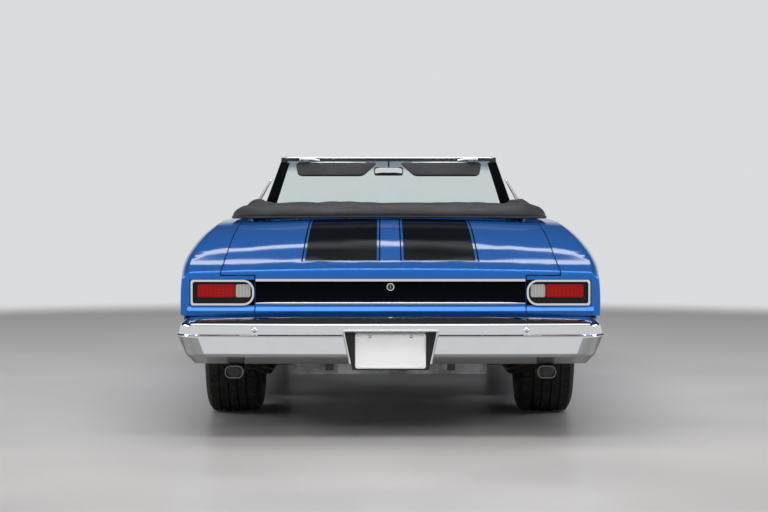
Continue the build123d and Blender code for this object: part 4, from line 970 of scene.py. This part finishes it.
visorMount = rod(pointsAt(visor["mountX"], (0.262, 0.285, 0.300), (1.2225, 1.230, 1.2335)), visor["mount"])
piece("visor_rods", [bothSides(visorRod), bothSides(visorMount)], "chrome")
print("windshield dressed")

# seats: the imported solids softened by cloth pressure, then sewn into channels
seat = {"voxel": 0.012, "shrink": 0.010, "cap": 0.022, "pressure": 4.0, "frames": 20, "channelPitch": 0.058,
        "channelDeep": 0.008, "channelWide": 0.010}


def weldedCopy(nodeName, name):
    mesh = nodes[nodeName].data.copy()
    mesh.name = name
    shell = bmesh.new()
    shell.from_mesh(mesh)
    bmesh.ops.remove_doubles(shell, verts=shell.verts, dist=1e-5)
    shell.to_mesh(mesh)
    shell.free()
    return placed(name, mesh)


def bakedMesh(made):
    made.data = bpy.data.meshes.new_from_object(made.evaluated_get(bpy.context.evaluated_depsgraph_get()))
    made.modifiers.clear()


def spotsOf(mesh, what="co"):
    values = np.empty(len(mesh.vertices) * 3, np.float32)
    mesh.vertices.foreach_get(what, values)
    return values.reshape(-1, 3).astype(float)


def moveSpots(mesh, spots):
    mesh.vertices.foreach_set("co", spots.astype(np.float32).ravel())
    mesh.update()


def inflated(made):
    # cloth pressure over a few frames, each point held within the cap of where it began
    start = spotsOf(made.data)
    cloth = made.modifiers.new("stuffing", "CLOTH")
    cloth.settings.use_pressure = True
    cloth.settings.uniform_pressure_force = seat["pressure"]
    cloth.settings.effector_weights.gravity = 0.0
    cloth.settings.quality = 4
    cloth.collision_settings.use_collision = False
    scene = bpy.context.scene
    for frameNumber in range(1, seat["frames"] + 1):
        scene.frame_set(frameNumber)
    result = made.evaluated_get(bpy.context.evaluated_depsgraph_get()).to_mesh()
    move = spotsOf(result) - start
    made.modifiers.clear()
    scene.frame_set(1)
    far = np.linalg.norm(move, axis=1, keepdims=True)
    return start + move * np.minimum(1, seat["cap"] / np.maximum(far, 1e-9))


def seatPad(nodeName, name, faceDirection, panelHalf, centreX):
    # channels: a row of narrow bell curves pressed into the sitting face between the bolsters
    made = weldedCopy(nodeName, name)
    remesh = made.modifiers.new("voxels", "REMESH")
    remesh.mode, remesh.voxel_size = "VOXEL", seat["voxel"]
    bakedMesh(made)
    moveSpots(made.data, spotsOf(made.data) - seat["shrink"] * spotsOf(made.data, "normal"))
    moveSpots(made.data, inflated(made))
    finer = made.modifiers.new("finer", "SUBSURF")
    finer.levels = finer.render_levels = 1
    bakedMesh(made)
    spots, normals = spotsOf(made.data), spotsOf(made.data, "normal")
    facing = np.clip((normals @ np.asarray(faceDirection, float) - 0.45) / 0.3, 0, 1)
    fromCentre = np.where(spots[:, 0] < 0, spots[:, 0] + centreX, spots[:, 0] - centreX)
    offset, halfWide = np.abs(fromCentre), seat["channelWide"] / 2
    near = (fromCentre / seat["channelPitch"] + 0.5) % 1.0 - 0.5
    groove = np.exp(-(near * seat["channelPitch"] / halfWide) ** 2) * (offset < panelHalf)
    seam = np.exp(-((offset - panelHalf) / halfWide) ** 2)
    moveSpots(made.data, spots - normals * (seat["channelDeep"] * facing * np.maximum(groove, seam))[:, None])
    made.data.polygons.foreach_set("use_smooth", np.ones(len(made.data.polygons), bool))
    made.data.materials.clear()
    made.data.materials.append(finishes["vinyl"].material)
    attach(made, "car_body")
    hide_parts(nodeName)
    return made


seatPad("seat_cushions", "seat_cushion_pads", (0, 0, 1), 0.175, 0.40)
seatPad("seat_backs", "seat_back_pads", (0, 0.96, 0.27), 0.175, 0.40)
seatPad("rear_cushion", "rear_cushion_pad", (0, 0, 1), 0.205, 0.27)
seatPad("rear_back", "rear_back_pad", (0, 0.99, 0.14), 0.205, 0.27)
print("seats stuffed")

# side trim: arch lips, sill moulding, door handles, all laid on the panels' own skin
sideTrim = {"lipWide": 0.012, "lipProud": 0.004, "lipFrom": -0.05, "lipTo": np.pi + 0.02, "sillZ": 0.272,
            "sillRearY": -0.80, "sillFrontY": 1.16, "sillWide": 0.030, "sillProud": 0.005, "clearX": 1.4}
# axle, height of the wheel's centre, radius, height at which the lip runs flat
archLips = ((rearAxleY, 0.350, 0.404, 0.673), (frontAxleY, 0.335, 0.389, 2.0))
handle = {"rearY": -0.395, "frontY": -0.245, "z": 0.745, "lift": 0.026}
handleButton = ((0, 0.010), (0.028, 0.010), (0.031, 0.008), (0.032, 0.003))
for sideName, sign in sides:
    shell = skinTree(f"fender_{sideName}", f"quarter_{sideName}", f"door_{sideName}", "rockers")
    startX, inward = sign * sideTrim["clearX"], (-sign, 0, 0)
    trim = []
    for axleY, wheelZ, radius, flatZ in archLips:
        turn = np.linspace(sideTrim["lipFrom"], sideTrim["lipTo"], 61)
        ringY, ringZ = axleY + radius * np.cos(turn), wheelZ + radius * np.sin(turn)
        path = onSkin(shell, pointsAt(startX, ringY, np.minimum(ringZ, flatZ)), inward)
        trim.append(moulding(path[::sign], sideTrim["lipWide"], sideTrim["lipProud"], up=(0, 0.01, 1)))
    sillY = np.linspace(sideTrim["sillRearY"], sideTrim["sillFrontY"], 40)
    path = onSkin(shell, pointsAt(startX, sillY, sideTrim["sillZ"]), inward)
    trim.append(moulding(path[::sign], sideTrim["sillWide"], sideTrim["sillProud"]))
    piece(f"side_mouldings_{sideName}", trim, "chrome")
    handleY = np.linspace(handle["rearY"], handle["frontY"], 15)
    grip = onSkin(shell, pointsAt(startX, handleY, handle["z"]), inward)
    fromEnd = np.minimum(np.arange(15), np.arange(15)[::-1])
    lift = handle["lift"] * np.clip(fromEnd / 3, 0, 1) ** 0.6
    bar = strip(grip + lift[:, None] * (sign, 0, 0), disc(14, 0.0065, 0.009, 2.6))
    base = [pebble(grip[index] + (sign * 0.004, 0, 0), (0.006, 0.020, 0.014), 3.0) for index in (1, -2)]
    button = turned(handleButton, grip[-2], (sign, 0, 0), 18)
    piece(f"door_handle_{sideName}", [bar, *base, button], "chrome", f"door_{sideName}")
print("side trim fitted")

# wheels: centre cap, lug nuts and bright trim ring on each
wheel = {"lugs": 5, "lugRadius": 0.046, "lugTurn": 0.3, "faceOut": 0.054, "lipIn": 0.018}
capProfile = ((-0.004, 0.034), (0.010, 0.033), (0.018, 0.027), (0.022, 0.014), (0.023, 0.004))
lugProfile = ((-0.002, 0.0115), (0.012, 0.0115), (0.018, 0.008), (0.020, 0.003))
ringProfile = ((-0.012, 0.1775), (0.000, 0.1800), (0.008, 0.1900), (0.0095, 0.1970), (0.006, 0.2010),
               (0.000, 0.2005), (-0.002, 0.1930), (-0.012, 0.1805))
for end in ("rear", "front"):
    for sideName, sign in sides:
        low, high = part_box(f"tyre_{end}_{sideName}")
        hub = middleOf(f"rim_{end}_{sideName}")
        middle, out = np.array(((low.x + high.x) / 2, hub.y, hub.z)), np.array((sign, 0.0, 0.0))
        face = middle + wheel["faceOut"] * out
        lip = middle + ((high.x - low.x) / 2 - wheel["lipIn"]) * out
        turns = np.arange(wheel["lugs"]) * 2 * np.pi / wheel["lugs"] + wheel["lugTurn"]
        lugs = face + wheel["lugRadius"] * pointsAt(0, np.cos(turns), np.sin(turns))
        parts = [turned(capProfile, face, out), *(turned(lugProfile, spot, out, 6) for spot in lugs),
                 turned(ringProfile, lip, out, 72, closed=True)]
        piece(f"wheel_trim_{end}_{sideName}", parts, "chrome", f"wheel_{end}_{sideName}", sharp=28)
print("wheels trimmed")

# nose: bright surround, headlamp domes and retainers, parking lamps in the bumper
nose = {"lampX": (0.575, 0.755), "lampZ": 0.650, "domeRadius": 0.069, "domeRise": 0.0085, "screwRadius": 0.079,
        "screwTurns": (0.6, 2.7, 4.7), "grilleHalf": 0.858, "grilleMid": 0.650, "grilleTall": 0.086, "barHalf": 0.478,
        "parkX": 0.60, "parkZ": 0.430, "parkLean": 0.075}
retainer = ((-0.004, 0.0735), (0.003, 0.0735), (0.005, 0.0705), (0.004, 0.0675), (-0.004, 0.0670))
screwHead = ((-0.002, 0.004), (0.002, 0.004), (0.003, 0.0015))
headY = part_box("headlamps")[1].y
forward = (0, 1, 0)
share = np.linspace(1.0, 0.04, 12)
dome = np.stack([nose["domeRise"] * (1 - share ** 2), nose["domeRadius"] * share], -1)
domes, retainers = [], []
for x in nose["lampX"]:
    domes.append(turned(dome, (x, headY - 0.0005, nose["lampZ"]), forward, 48))
    retainers.append(turned(retainer, (x, headY, nose["lampZ"]), forward, 56, closed=True))
    screws = np.array((x, headY + 0.0095, nose["lampZ"])) + nose["screwRadius"] * pointsAt(
        np.cos(nose["screwTurns"]), 0, np.sin(nose["screwTurns"]))
    retainers += [turned(screwHead, spot, forward, 10) for spot in screws]
piece("headlamp_domes", bothSides(joinShapes(domes)), "lampGlass")
surround = disc(120, nose["grilleHalf"], nose["grilleTall"], 9.0)
surround = pointsAt(surround[:, 0], noseY - 0.001, surround[:, 1] + nose["grilleMid"])
bar = pointsAt(np.linspace(nose["barHalf"], -nose["barHalf"], 21), noseY - 0.030, nose["grilleMid"])
piece("grille_brightwork", [bothSides(joinShapes(retainers)), hoop(surround, disc(12, 0.006, 0.004, 2.5), (0, 1, 0)),
                            moulding(bar, 0.016, 0.008)], "chrome")
frontTree = skinTree("front_bumper")
parkOutline = disc(40, 0.085, 0.021, 5.0)
parkLenses, parkRims = [], []
for _, sign in sides:
    spot = onSkin(frontTree, [(sign * nose["parkX"], 3.0, nose["parkZ"])], rearward)[0]
    lean = unit((sign * nose["parkLean"], 1.0, 0.0))
    across = np.cross(lean, (0.0, 0.0, 1.0))
    parkLenses.append(slab(parkOutline, spot, across, (0, 0, 1), -0.004, 0.006, 0.003))
    rim = spot + parkOutline[:, :1] * across * 1.03 + parkOutline[:, 1:] * np.array((0, 0, 1.12)) + 0.001 * lean
    parkRims.append(hoop(rim, disc(8, 0.004), lean))
piece("parking_lamps", parkLenses, "whiteLens")
piece("parking_lamp_rims", parkRims, "chrome")
print("nose dressed")

# cowl: air slots drawn as thin black strips, painted shade where the openings are, and wipers; the blades lie on the
# glass, which leans and bows from base to header
cowl = {"slotFrom": 0.14, "slotTo": 0.56, "slots": 15, "slotY": (0.822, 0.838, 0.854), "skyZ": 2.0}
glass = {"baseZ": 0.890, "tall": 0.342, "half": (0.710, 0.564), "endY": (0.640, 0.250), "midY": (0.800, 0.335)}
wiper = {"pivots": (-0.36, 0.10), "bladeStart": 0.02, "sweep": 0.42, "bladeZ": (0.938, 0.950), "bladeOff": 0.009,
         "footBack": 0.03, "footAhead": 0.025, "armReach": 0.22, "armZ": (0.925, 0.946), "armOff": 0.020}
downward = (0, 0, -1)
cowlTree = skinTree("cowl")
# each air slot is a black strip laid on the cowl's skin: painted shade for the dark inside an opening
slotX = np.linspace(cowl["slotFrom"], cowl["slotTo"], cowl["slots"])
slots = []
for x in np.concatenate([-slotX[::-1], slotX]):
    run = onSkin(cowlTree, pointsAt(x, cowl["slotY"], cowl["skyZ"]), downward)
    slots.append(strip(run + (0, 0, 0.0006), disc(10, 0.008, 0.0016, 3.0)))
piece("cowl_slot_shades", slots, "trim")


def onGlass(x, z, ahead):
    # a bow across the car whose half width and ends slide from base to header, set off from the pane by ahead
    t = (z - glass["baseZ"]) / glass["tall"]
    half, endY, midY = (glass[key][0] + (glass[key][1] - glass[key][0]) * t for key in ("half", "endY", "midY"))
    return pointsAt(x, bow(x, half, endY, midY) + ahead, z + 0.6 * ahead)


pivotCap = ((-0.014, 0.012), (0.006, 0.012), (0.010, 0.008), (0.011, 0.002))
wipers = []
for pivot in wiper["pivots"]:
    footX = pivot - wiper["footBack"]
    bladeX = np.linspace(pivot + wiper["bladeStart"], pivot + wiper["sweep"], 14)
    blade = onGlass(bladeX, np.linspace(*wiper["bladeZ"], 14), wiper["bladeOff"])
    arm = onGlass(np.linspace(footX, pivot + wiper["armReach"], 8), np.linspace(*wiper["armZ"], 8), wiper["armOff"])
    arm[0] = onSkin(cowlTree, [(footX, arm[0, 1] + wiper["footAhead"], cowl["skyZ"])], downward, 0.012)[0]
    wipers += [strip(blade, disc(10, 0.0035, 0.008, 3.0)),
               strip(arm, disc(10, 0.006, 0.0035, 3.0), taper=np.linspace(1.2, 0.7, 8)),
               turned(pivotCap, arm[0], (0, 0.2, 1), 18)]
piece("wipers", wipers, "trim")
print("cowl dressed")

# dashboard: round gauges with ticks and needles, radio, glove box line, knobs
dash = {"faceY": 0.4107, "faceZ": 0.806, "lean": (0.0, -0.976, -0.217), "largeX": (-0.470, -0.260),
        "largeRadius": 0.052, "largeTicks": 21, "smallX": (-0.365, -0.120), "smallRadius": 0.030, "smallTicks": 9,
        "tickFrom": -40, "tickTo": 220, "needleAt": 205, "radioX": 0.020, "radioKeys": 5, "keyPitch": 0.025,
        "gloveX": 0.455, "beltHalf": 0.735, "beltUp": -0.040}
knobSpots = ((-0.075, -0.012), (0.115, -0.012), (-0.560, 0.018), (-0.560, -0.020), (0.190, -0.02), (0.190, 0.02),
             (dash["gloveX"], 0.020))  # across, up
knobProfile = ((0, 0.011), (0.010, 0.011), (0.013, 0.009), (0.014, 0.003))
dashOut = unit(dash["lean"])
dashRight, dashUp = np.array((1.0, 0.0, 0.0)), np.array((0.0, dashOut[2], -dashOut[1]))


def onDash(x, up, out=0.0):
    return np.array((x, dash["faceY"], dash["faceZ"])) + up * dashUp + out * dashOut


def aroundDial(degrees):
    turn = np.radians(degrees)
    return np.cos(turn) * dashRight + np.sin(turn) * dashUp


gaugeRings, gaugeFaces, gaugeMarks = [], [], []
gauges = [(x, dash[f"{kind}Radius"], dash[f"{kind}Ticks"]) for kind in ("large", "small") for x in dash[f"{kind}X"]]
for x, radius, ticks in gauges:
    gaugeFaces.append(turned(((-0.002, radius), (0.003, radius), (0.0035, radius * 0.5)), onDash(x, 0), dashOut, 40))
    circle = onDash(x, 0, 0.004) + radius * aroundDial(np.linspace(0, 360, 48, endpoint=False)[:, None])
    gaugeRings.append(hoop(circle, disc(10, 0.005, 0.004), dashOut))
    for degrees in np.linspace(dash["tickFrom"], dash["tickTo"], ticks):
        tick = onDash(x, 0, 0.0040) + radius * np.array(((0.72,), (0.79,), (0.86,))) * aroundDial(degrees)
        gaugeMarks.append(strip(tick, disc(6, radius * 0.018, 0.0006), up=dashOut))
    needle = onDash(x, 0, 0.0060) + radius * np.array(((-0.15,), (0.3,), (0.76,))) * aroundDial(dash["needleAt"])
    gaugeMarks.append(strip(needle, disc(6, radius * 0.03, 0.0008), up=dashOut, taper=(1.2, 1.0, 0.35)))
piece("gauge_faces", gaugeFaces, "trim")
piece("gauge_marks", gaugeMarks, "plate")
knobs = [turned(knobProfile, onDash(x, up), dashOut, 20) for x, up in knobSpots]
radio = [slab(disc(36, 0.080, 0.024, 6.0), onDash(dash["radioX"], -0.012), -dashRight, dashUp, -0.003, 0.004, 0.002)]
radio += [slab(disc(16, 0.010, 0.006, 5.0), onDash(dash["radioX"] + x, -0.024), -dashRight, dashUp, 0.0, 0.010, 0.002)
          for x in (np.arange(dash["radioKeys"]) - dash["radioKeys"] // 2) * dash["keyPitch"]]
glove = disc(80, 0.170, 0.034, 7.0)
gloveEdge = onDash(dash["gloveX"], 0) + glove[:, :1] * dashRight + glove[:, 1:] * dashUp
gloveLine = hoop(gloveEdge, disc(8, 0.0025), dashOut)
belt = np.linspace(onDash(-dash["beltHalf"], dash["beltUp"]), onDash(dash["beltHalf"], dash["beltUp"]), 31)
piece("dash_brightwork", gaugeRings + knobs + radio + [gloveLine, moulding(belt, 0.008, 0.004)], "chrome")
print("dashboard fitted")

# pedals, horn cap, shift boot
# across, half width, half height, height, place along the car
pedalPads = ((-0.500, 0.038, 0.030, 0.430, 0.560), (-0.350, 0.048, 0.030, 0.430, 0.560),
             (-0.205, 0.026, 0.075, 0.390, 0.600))
pedals = []
for x, wide, tall, z, y in pedalPads:
    stem = np.array([(x, y + 0.008, z), (x, y + 0.055, z + 0.10), (x, y + 0.060, z + 0.24)])
    pedals += [slab(disc(28, wide, tall, 5.0), (x, y, z), (-1, 0, 0), (0, 0.5, 0.866), -0.006, 0.006, 0.004),
               strip(stem, disc(8, 0.006, 0.011, 4.0), up=(0, 1, 0.2))]
piece("pedals", pedals, "trim")
horn = {"hub": (-0.365, 0.205, 0.790), "axis": (0.0, -0.93, 0.37), "proud": 0.014}
hornProfile = ((-0.002, 0.046), (0.004, 0.046), (0.008, 0.043), (0.008, 0.036), (0.012, 0.030), (0.015, 0.018),
               (0.016, 0.004))
columnAxis = unit(horn["axis"])
piece("horn_cap", turned(hornProfile, np.array(horn["hub"]) + horn["proud"] * columnAxis, columnAxis, 40), "chrome",
      "steering_wheel")
gaiter = {"foot": (0, 0.25, 0.466), "tall": 0.075, "radius": 0.046, "narrowing": 0.030, "pleat": 0.0045, "pleats": 6}
share = np.linspace(0, 1, 25)
gaiterRadius = (gaiter["radius"] - gaiter["narrowing"] * share
                + gaiter["pleat"] * np.abs(np.sin(share * np.pi * gaiter["pleats"])))
piece("shift_boot", turned(pointsAt(share * gaiter["tall"], gaiterRadius), gaiter["foot"], (0, 0, 1)), "vinyl")
print("controls fitted")

# vent window frames: a slim channel just inside the edge of each pane
vent = {"foot": (0.787, 0.635, 0.915), "lean": (-0.62, 0.0, 1.0), "off": 0.0025, "bend": 0.008}
# along the car, up the pane
ventCorners = np.array(((-0.078, 0.008), (-0.343, 0.2505), (-0.3675, 0.2505), (-0.3675, 0.008)))
ventUp = unit(vent["lean"])
ventOut = np.array((ventUp[2], 0, -ventUp[0]))
ventEdge = softBend(ventCorners, vent["bend"], 5)
ventPath = np.array(vent["foot"]) + ventEdge[:, :1] * (0, 1, 0) + ventEdge[:, 1:] * ventUp + vent["off"] * ventOut
ventFrame = strip(ventPath, disc(10, 0.0035, 0.0050, 3.5), up=ventOut)
for sideName, sign in sides:
    piece(f"vent_frame_{sideName}", ventFrame if sign > 0 else mirrored(ventFrame), "chrome", f"door_{sideName}")

# door trim: pleated pad, bright strips, crank and inner handle, which ride the doors, and the sill plates
doorPad = {"frontY": 0.240, "rearY": -0.440, "lowZ": 0.335, "highZ": 0.845, "thick": 0.007, "pleat": 0.048,
           "pleatLowZ": 0.40, "pleatHighZ": 0.58, "armrest": 0.055, "stripZ": (0.385, 0.592), "crank": (0.130, 0.705),
           "lever": (-0.020, 0.715)}
crankHub = ((-0.004, 0.022), (0.006, 0.022), (0.012, 0.016), (0.014, 0.004))
crankKnob = ((0, 0.010), (0.022, 0.012), (0.028, 0.010), (0.030, 0.003))
leverHub = ((-0.004, 0.018), (0.006, 0.018), (0.010, 0.012), (0.011, 0.003))
sillPlate = {"middle": (0.825, 0.10), "half": (0.055, 0.50), "z": 0.2945, "thick": 0.003, "ribs": 9, "ribFrom": 0.785,
             "ribTo": 0.865, "ribHalf": 0.48}
padY = np.linspace(doorPad["rearY"], doorPad["frontY"], 90)
padZ = np.linspace(doorPad["lowZ"], doorPad["highZ"], 40)
for sideName, sign in sides:
    body, intoCabin = f"door_{sideName}", np.array((-sign, 0.0, 0.0))
    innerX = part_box(body)[0 if sign > 0 else 1].x + sign * doorPad["armrest"]  # the armrest stands out from the wall
    y, z = np.meshgrid(padY, padZ, indexing="ij")
    rim = np.minimum(np.minimum(y - padY[0], padY[-1] - y), np.minimum(z - padZ[0], padZ[-1] - z))
    swell = np.clip(rim / 0.02, 0, 1) ** 0.5
    pleated = (z > doorPad["pleatLowZ"]) & (z < doorPad["pleatHighZ"])
    ridge = np.abs(np.sin(np.pi * (y - padY[0]) / doorPad["pleat"])) ** 0.5 * pleated
    x = innerX - sign * (0.0005 + doorPad["thick"] * swell * (0.55 + 0.45 * ridge))
    piece(f"door_pad_{sideName}", gridShape(pointsAt(x, y, z)), "vinyl", body, solid=False)
    stripY = np.linspace(padY[0] + 0.01, padY[-1] - 0.01, 30)[::-sign]
    fittings = [moulding(pointsAt(innerX - sign * 0.008, stripY, z), 0.009, 0.004) for z in doorPad["stripZ"]]
    hub, lever = (np.array((innerX - sign * 0.007, *doorPad[key])) for key in ("crank", "lever"))
    crankEnd = hub + 0.016 * intoCabin + (0, -0.085, 0.025)
    crank = np.stack([hub + 0.010 * intoCabin, (hub + crankEnd) / 2 + 0.008 * intoCabin, crankEnd])
    pull = np.stack([lever + 0.010 * intoCabin, lever + 0.018 * intoCabin + (0, 0.05, 0.003),
                     lever + 0.012 * intoCabin + (0, 0.095, 0.0)])
    fittings += [turned(crankHub, hub, intoCabin, 24), strip(crank, disc(10, 0.005, 0.009, 3.0)),
                 turned(crankKnob, crankEnd, intoCabin, 18), turned(leverHub, lever, intoCabin, 20),
                 strip(pull, disc(10, 0.004, 0.008, 3.0))]
    piece(f"door_fittings_{sideName}", fittings, "chrome", body)
    sillTop = slab(rectangle(*sillPlate["half"]) + sillPlate["middle"], (0, 0, sillPlate["z"]), (1, 0, 0), (0, 1, 0),
                   0.0, sillPlate["thick"], 0.002)
    ribY = sillPlate["middle"][1] + np.linspace(-sillPlate["ribHalf"], sillPlate["ribHalf"], 6)
    ribs = [strip(pointsAt(ribX, ribY, sillPlate["z"] + sillPlate["thick"]), disc(6, 0.002, 0.0012))
            for ribX in np.linspace(sillPlate["ribFrom"], sillPlate["ribTo"], sillPlate["ribs"])]
    sill = joinShapes([sillTop, *ribs])
    piece(f"sill_plate_{sideName}", sill if sign > 0 else mirrored(sill), "alloy")
print("doors trimmed")

# liners: half a drum over each front wheel out to the fender, the trunk floor out to each quarter, and the toe carpet
liner = {"radius": 0.402, "centreZ": 0.335, "inner": 0.437, "foot": 6.0, "thick": 0.003, "usualOuter": 0.86,
         "startX": 0.60, "gap": 0.001}
well = {"inner": 0.553, "frontY": -1.662, "lowZ": 0.512, "thick": 0.005}
toe = {"half": 0.712, "boardY": 0.7335, "lowZ": 0.414, "topZ": 0.4215, "wallY": 0.8295, "footZ": 0.4455,
       "highZ": 0.640, "thick": 0.004}


def bandOut(tree, inner, low, high):
    # a sheet between two (y, z) runs, low and high, from x = inner out to the first wall it meets
    walls = [tree.ray_cast(Vector((liner["startX"], *spot)), Vector((1, 0, 0)))[0] for spot in low]
    outer = np.array([wall.x if wall else liner["usualOuter"] for wall in walls]) - liner["gap"]
    rings = [pointsAt(x, *run.T) for x, run in ((inner, low), (outer, low), (outer, high), (inner, high))]
    return gridShape(np.stack(rings, 1), closeV=True, capStart=True, capEnd=True)


turn = np.radians(np.linspace(-liner["foot"], 180 + liner["foot"], 61))
drum = [pointsAt(frontAxleY + radius * np.cos(turn), liner["centreZ"] + radius * np.sin(turn))
        for radius in (liner["radius"], liner["radius"] + liner["thick"])]
piece("wheel_liners", bothSides(bandOut(skinTree("fender_right"), liner["inner"], *drum)), "trim")
wellY = np.linspace(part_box("floor_pan")[0].y, well["frontY"], 25)
wellRuns = [pointsAt(wellY, well["lowZ"] + rise) for rise in (0, well["thick"])]
piece("trunk_wells", bothSides(bandOut(skinTree("quarter_right"), well["inner"], *wellRuns)), "carpet")
toeBack = np.array(((toe["boardY"], toe["lowZ"]), (toe["boardY"], toe["topZ"]), (toe["wallY"], toe["footZ"]),
                    (toe["wallY"], toe["highZ"])))
toeFace = toeBack + toe["thick"] * np.array(((-1, 0), (-1, 1), (-1, 1), (-1, 0)))
toeOutline = np.vstack([toeFace, toeBack[::-1]])
toePoints = pointsAt(np.linspace(-toe["half"], toe["half"], 9)[:, None], *toeOutline.T)
piece("toe_carpet", gridShape(toePoints, closeV=True, capStart=True, capEnd=True), "carpet")
print("liners set")

# below: tank straps, exhaust hangers, front springs, and a black plug in each exhaust mouth: soot, and painted shade
# for the dark inside the pipe
strap = {"x": (-0.27, 0.27), "half": (0.018, 0.0012), "off": 0.003, "corner": 0.02}
tip = {"x": 0.675, "z": 0.292, "hangerY": (0.10, 0.10, 0.115), "hangerZ": (0.024, 0.050, 0.085),
       "hangerHalf": (0.012, 0.002), "sootShadeIn": 0.012}
spring = {"x": 0.50, "lowZ": 0.245, "tall": 0.175, "turns": 6.5, "radius": 0.046, "wire": 0.0065}
tankLow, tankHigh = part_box("fuel_tank")
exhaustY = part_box("exhaust")[0].y
off, corner = strap["off"], strap["corner"]
rearY, underY, frontY = tankLow.y - off, (tankLow.y + corner, tankHigh.y - corner), tankHigh.y + off
sideZ, underZ = (tankHigh.z, tankLow.z + corner), tankLow.z - off
strapY, strapZ = (rearY, rearY, *underY, frontY, frontY), (*sideZ, underZ, underZ, *sideZ[::-1])
below = [strip(pointsAt(x, strapY, strapZ), rectangle(*strap["half"]), up=(0, 0.5, 1)) for x in strap["x"]]
turns = np.linspace(0, 2 * np.pi * spring["turns"], 200)
for _, sign in sides:
    hanger = pointsAt(sign * tip["x"], exhaustY + np.array(tip["hangerY"]), tip["z"] + np.array(tip["hangerZ"]))
    helix = pointsAt(sign * spring["x"] + spring["radius"] * np.cos(turns),
                     frontAxleY + spring["radius"] * np.sin(turns),
                     spring["lowZ"] + spring["tall"] * turns / turns[-1])
    below += [strip(hanger, rectangle(*tip["hangerHalf"]), up=(0, 1, 0)), rod(helix, spring["wire"], 8)]
piece("straps_and_springs", below, "iron")
# a black plug a little inside each tip: real soot, and painted shade standing in for the dark inside of the pipe
sootShadeProfile = ((0.0, 0.024), (0.002, 0.024), (0.003, 0.010))
sootAndShade = [turned(sootShadeProfile, (sign * tip["x"], exhaustY + tip["sootShadeIn"], tip["z"]), rearward, 28) for _, sign in sides]
piece("exhaust_soot_and_shade", sootAndShade, "trim")
print("underside fitted")
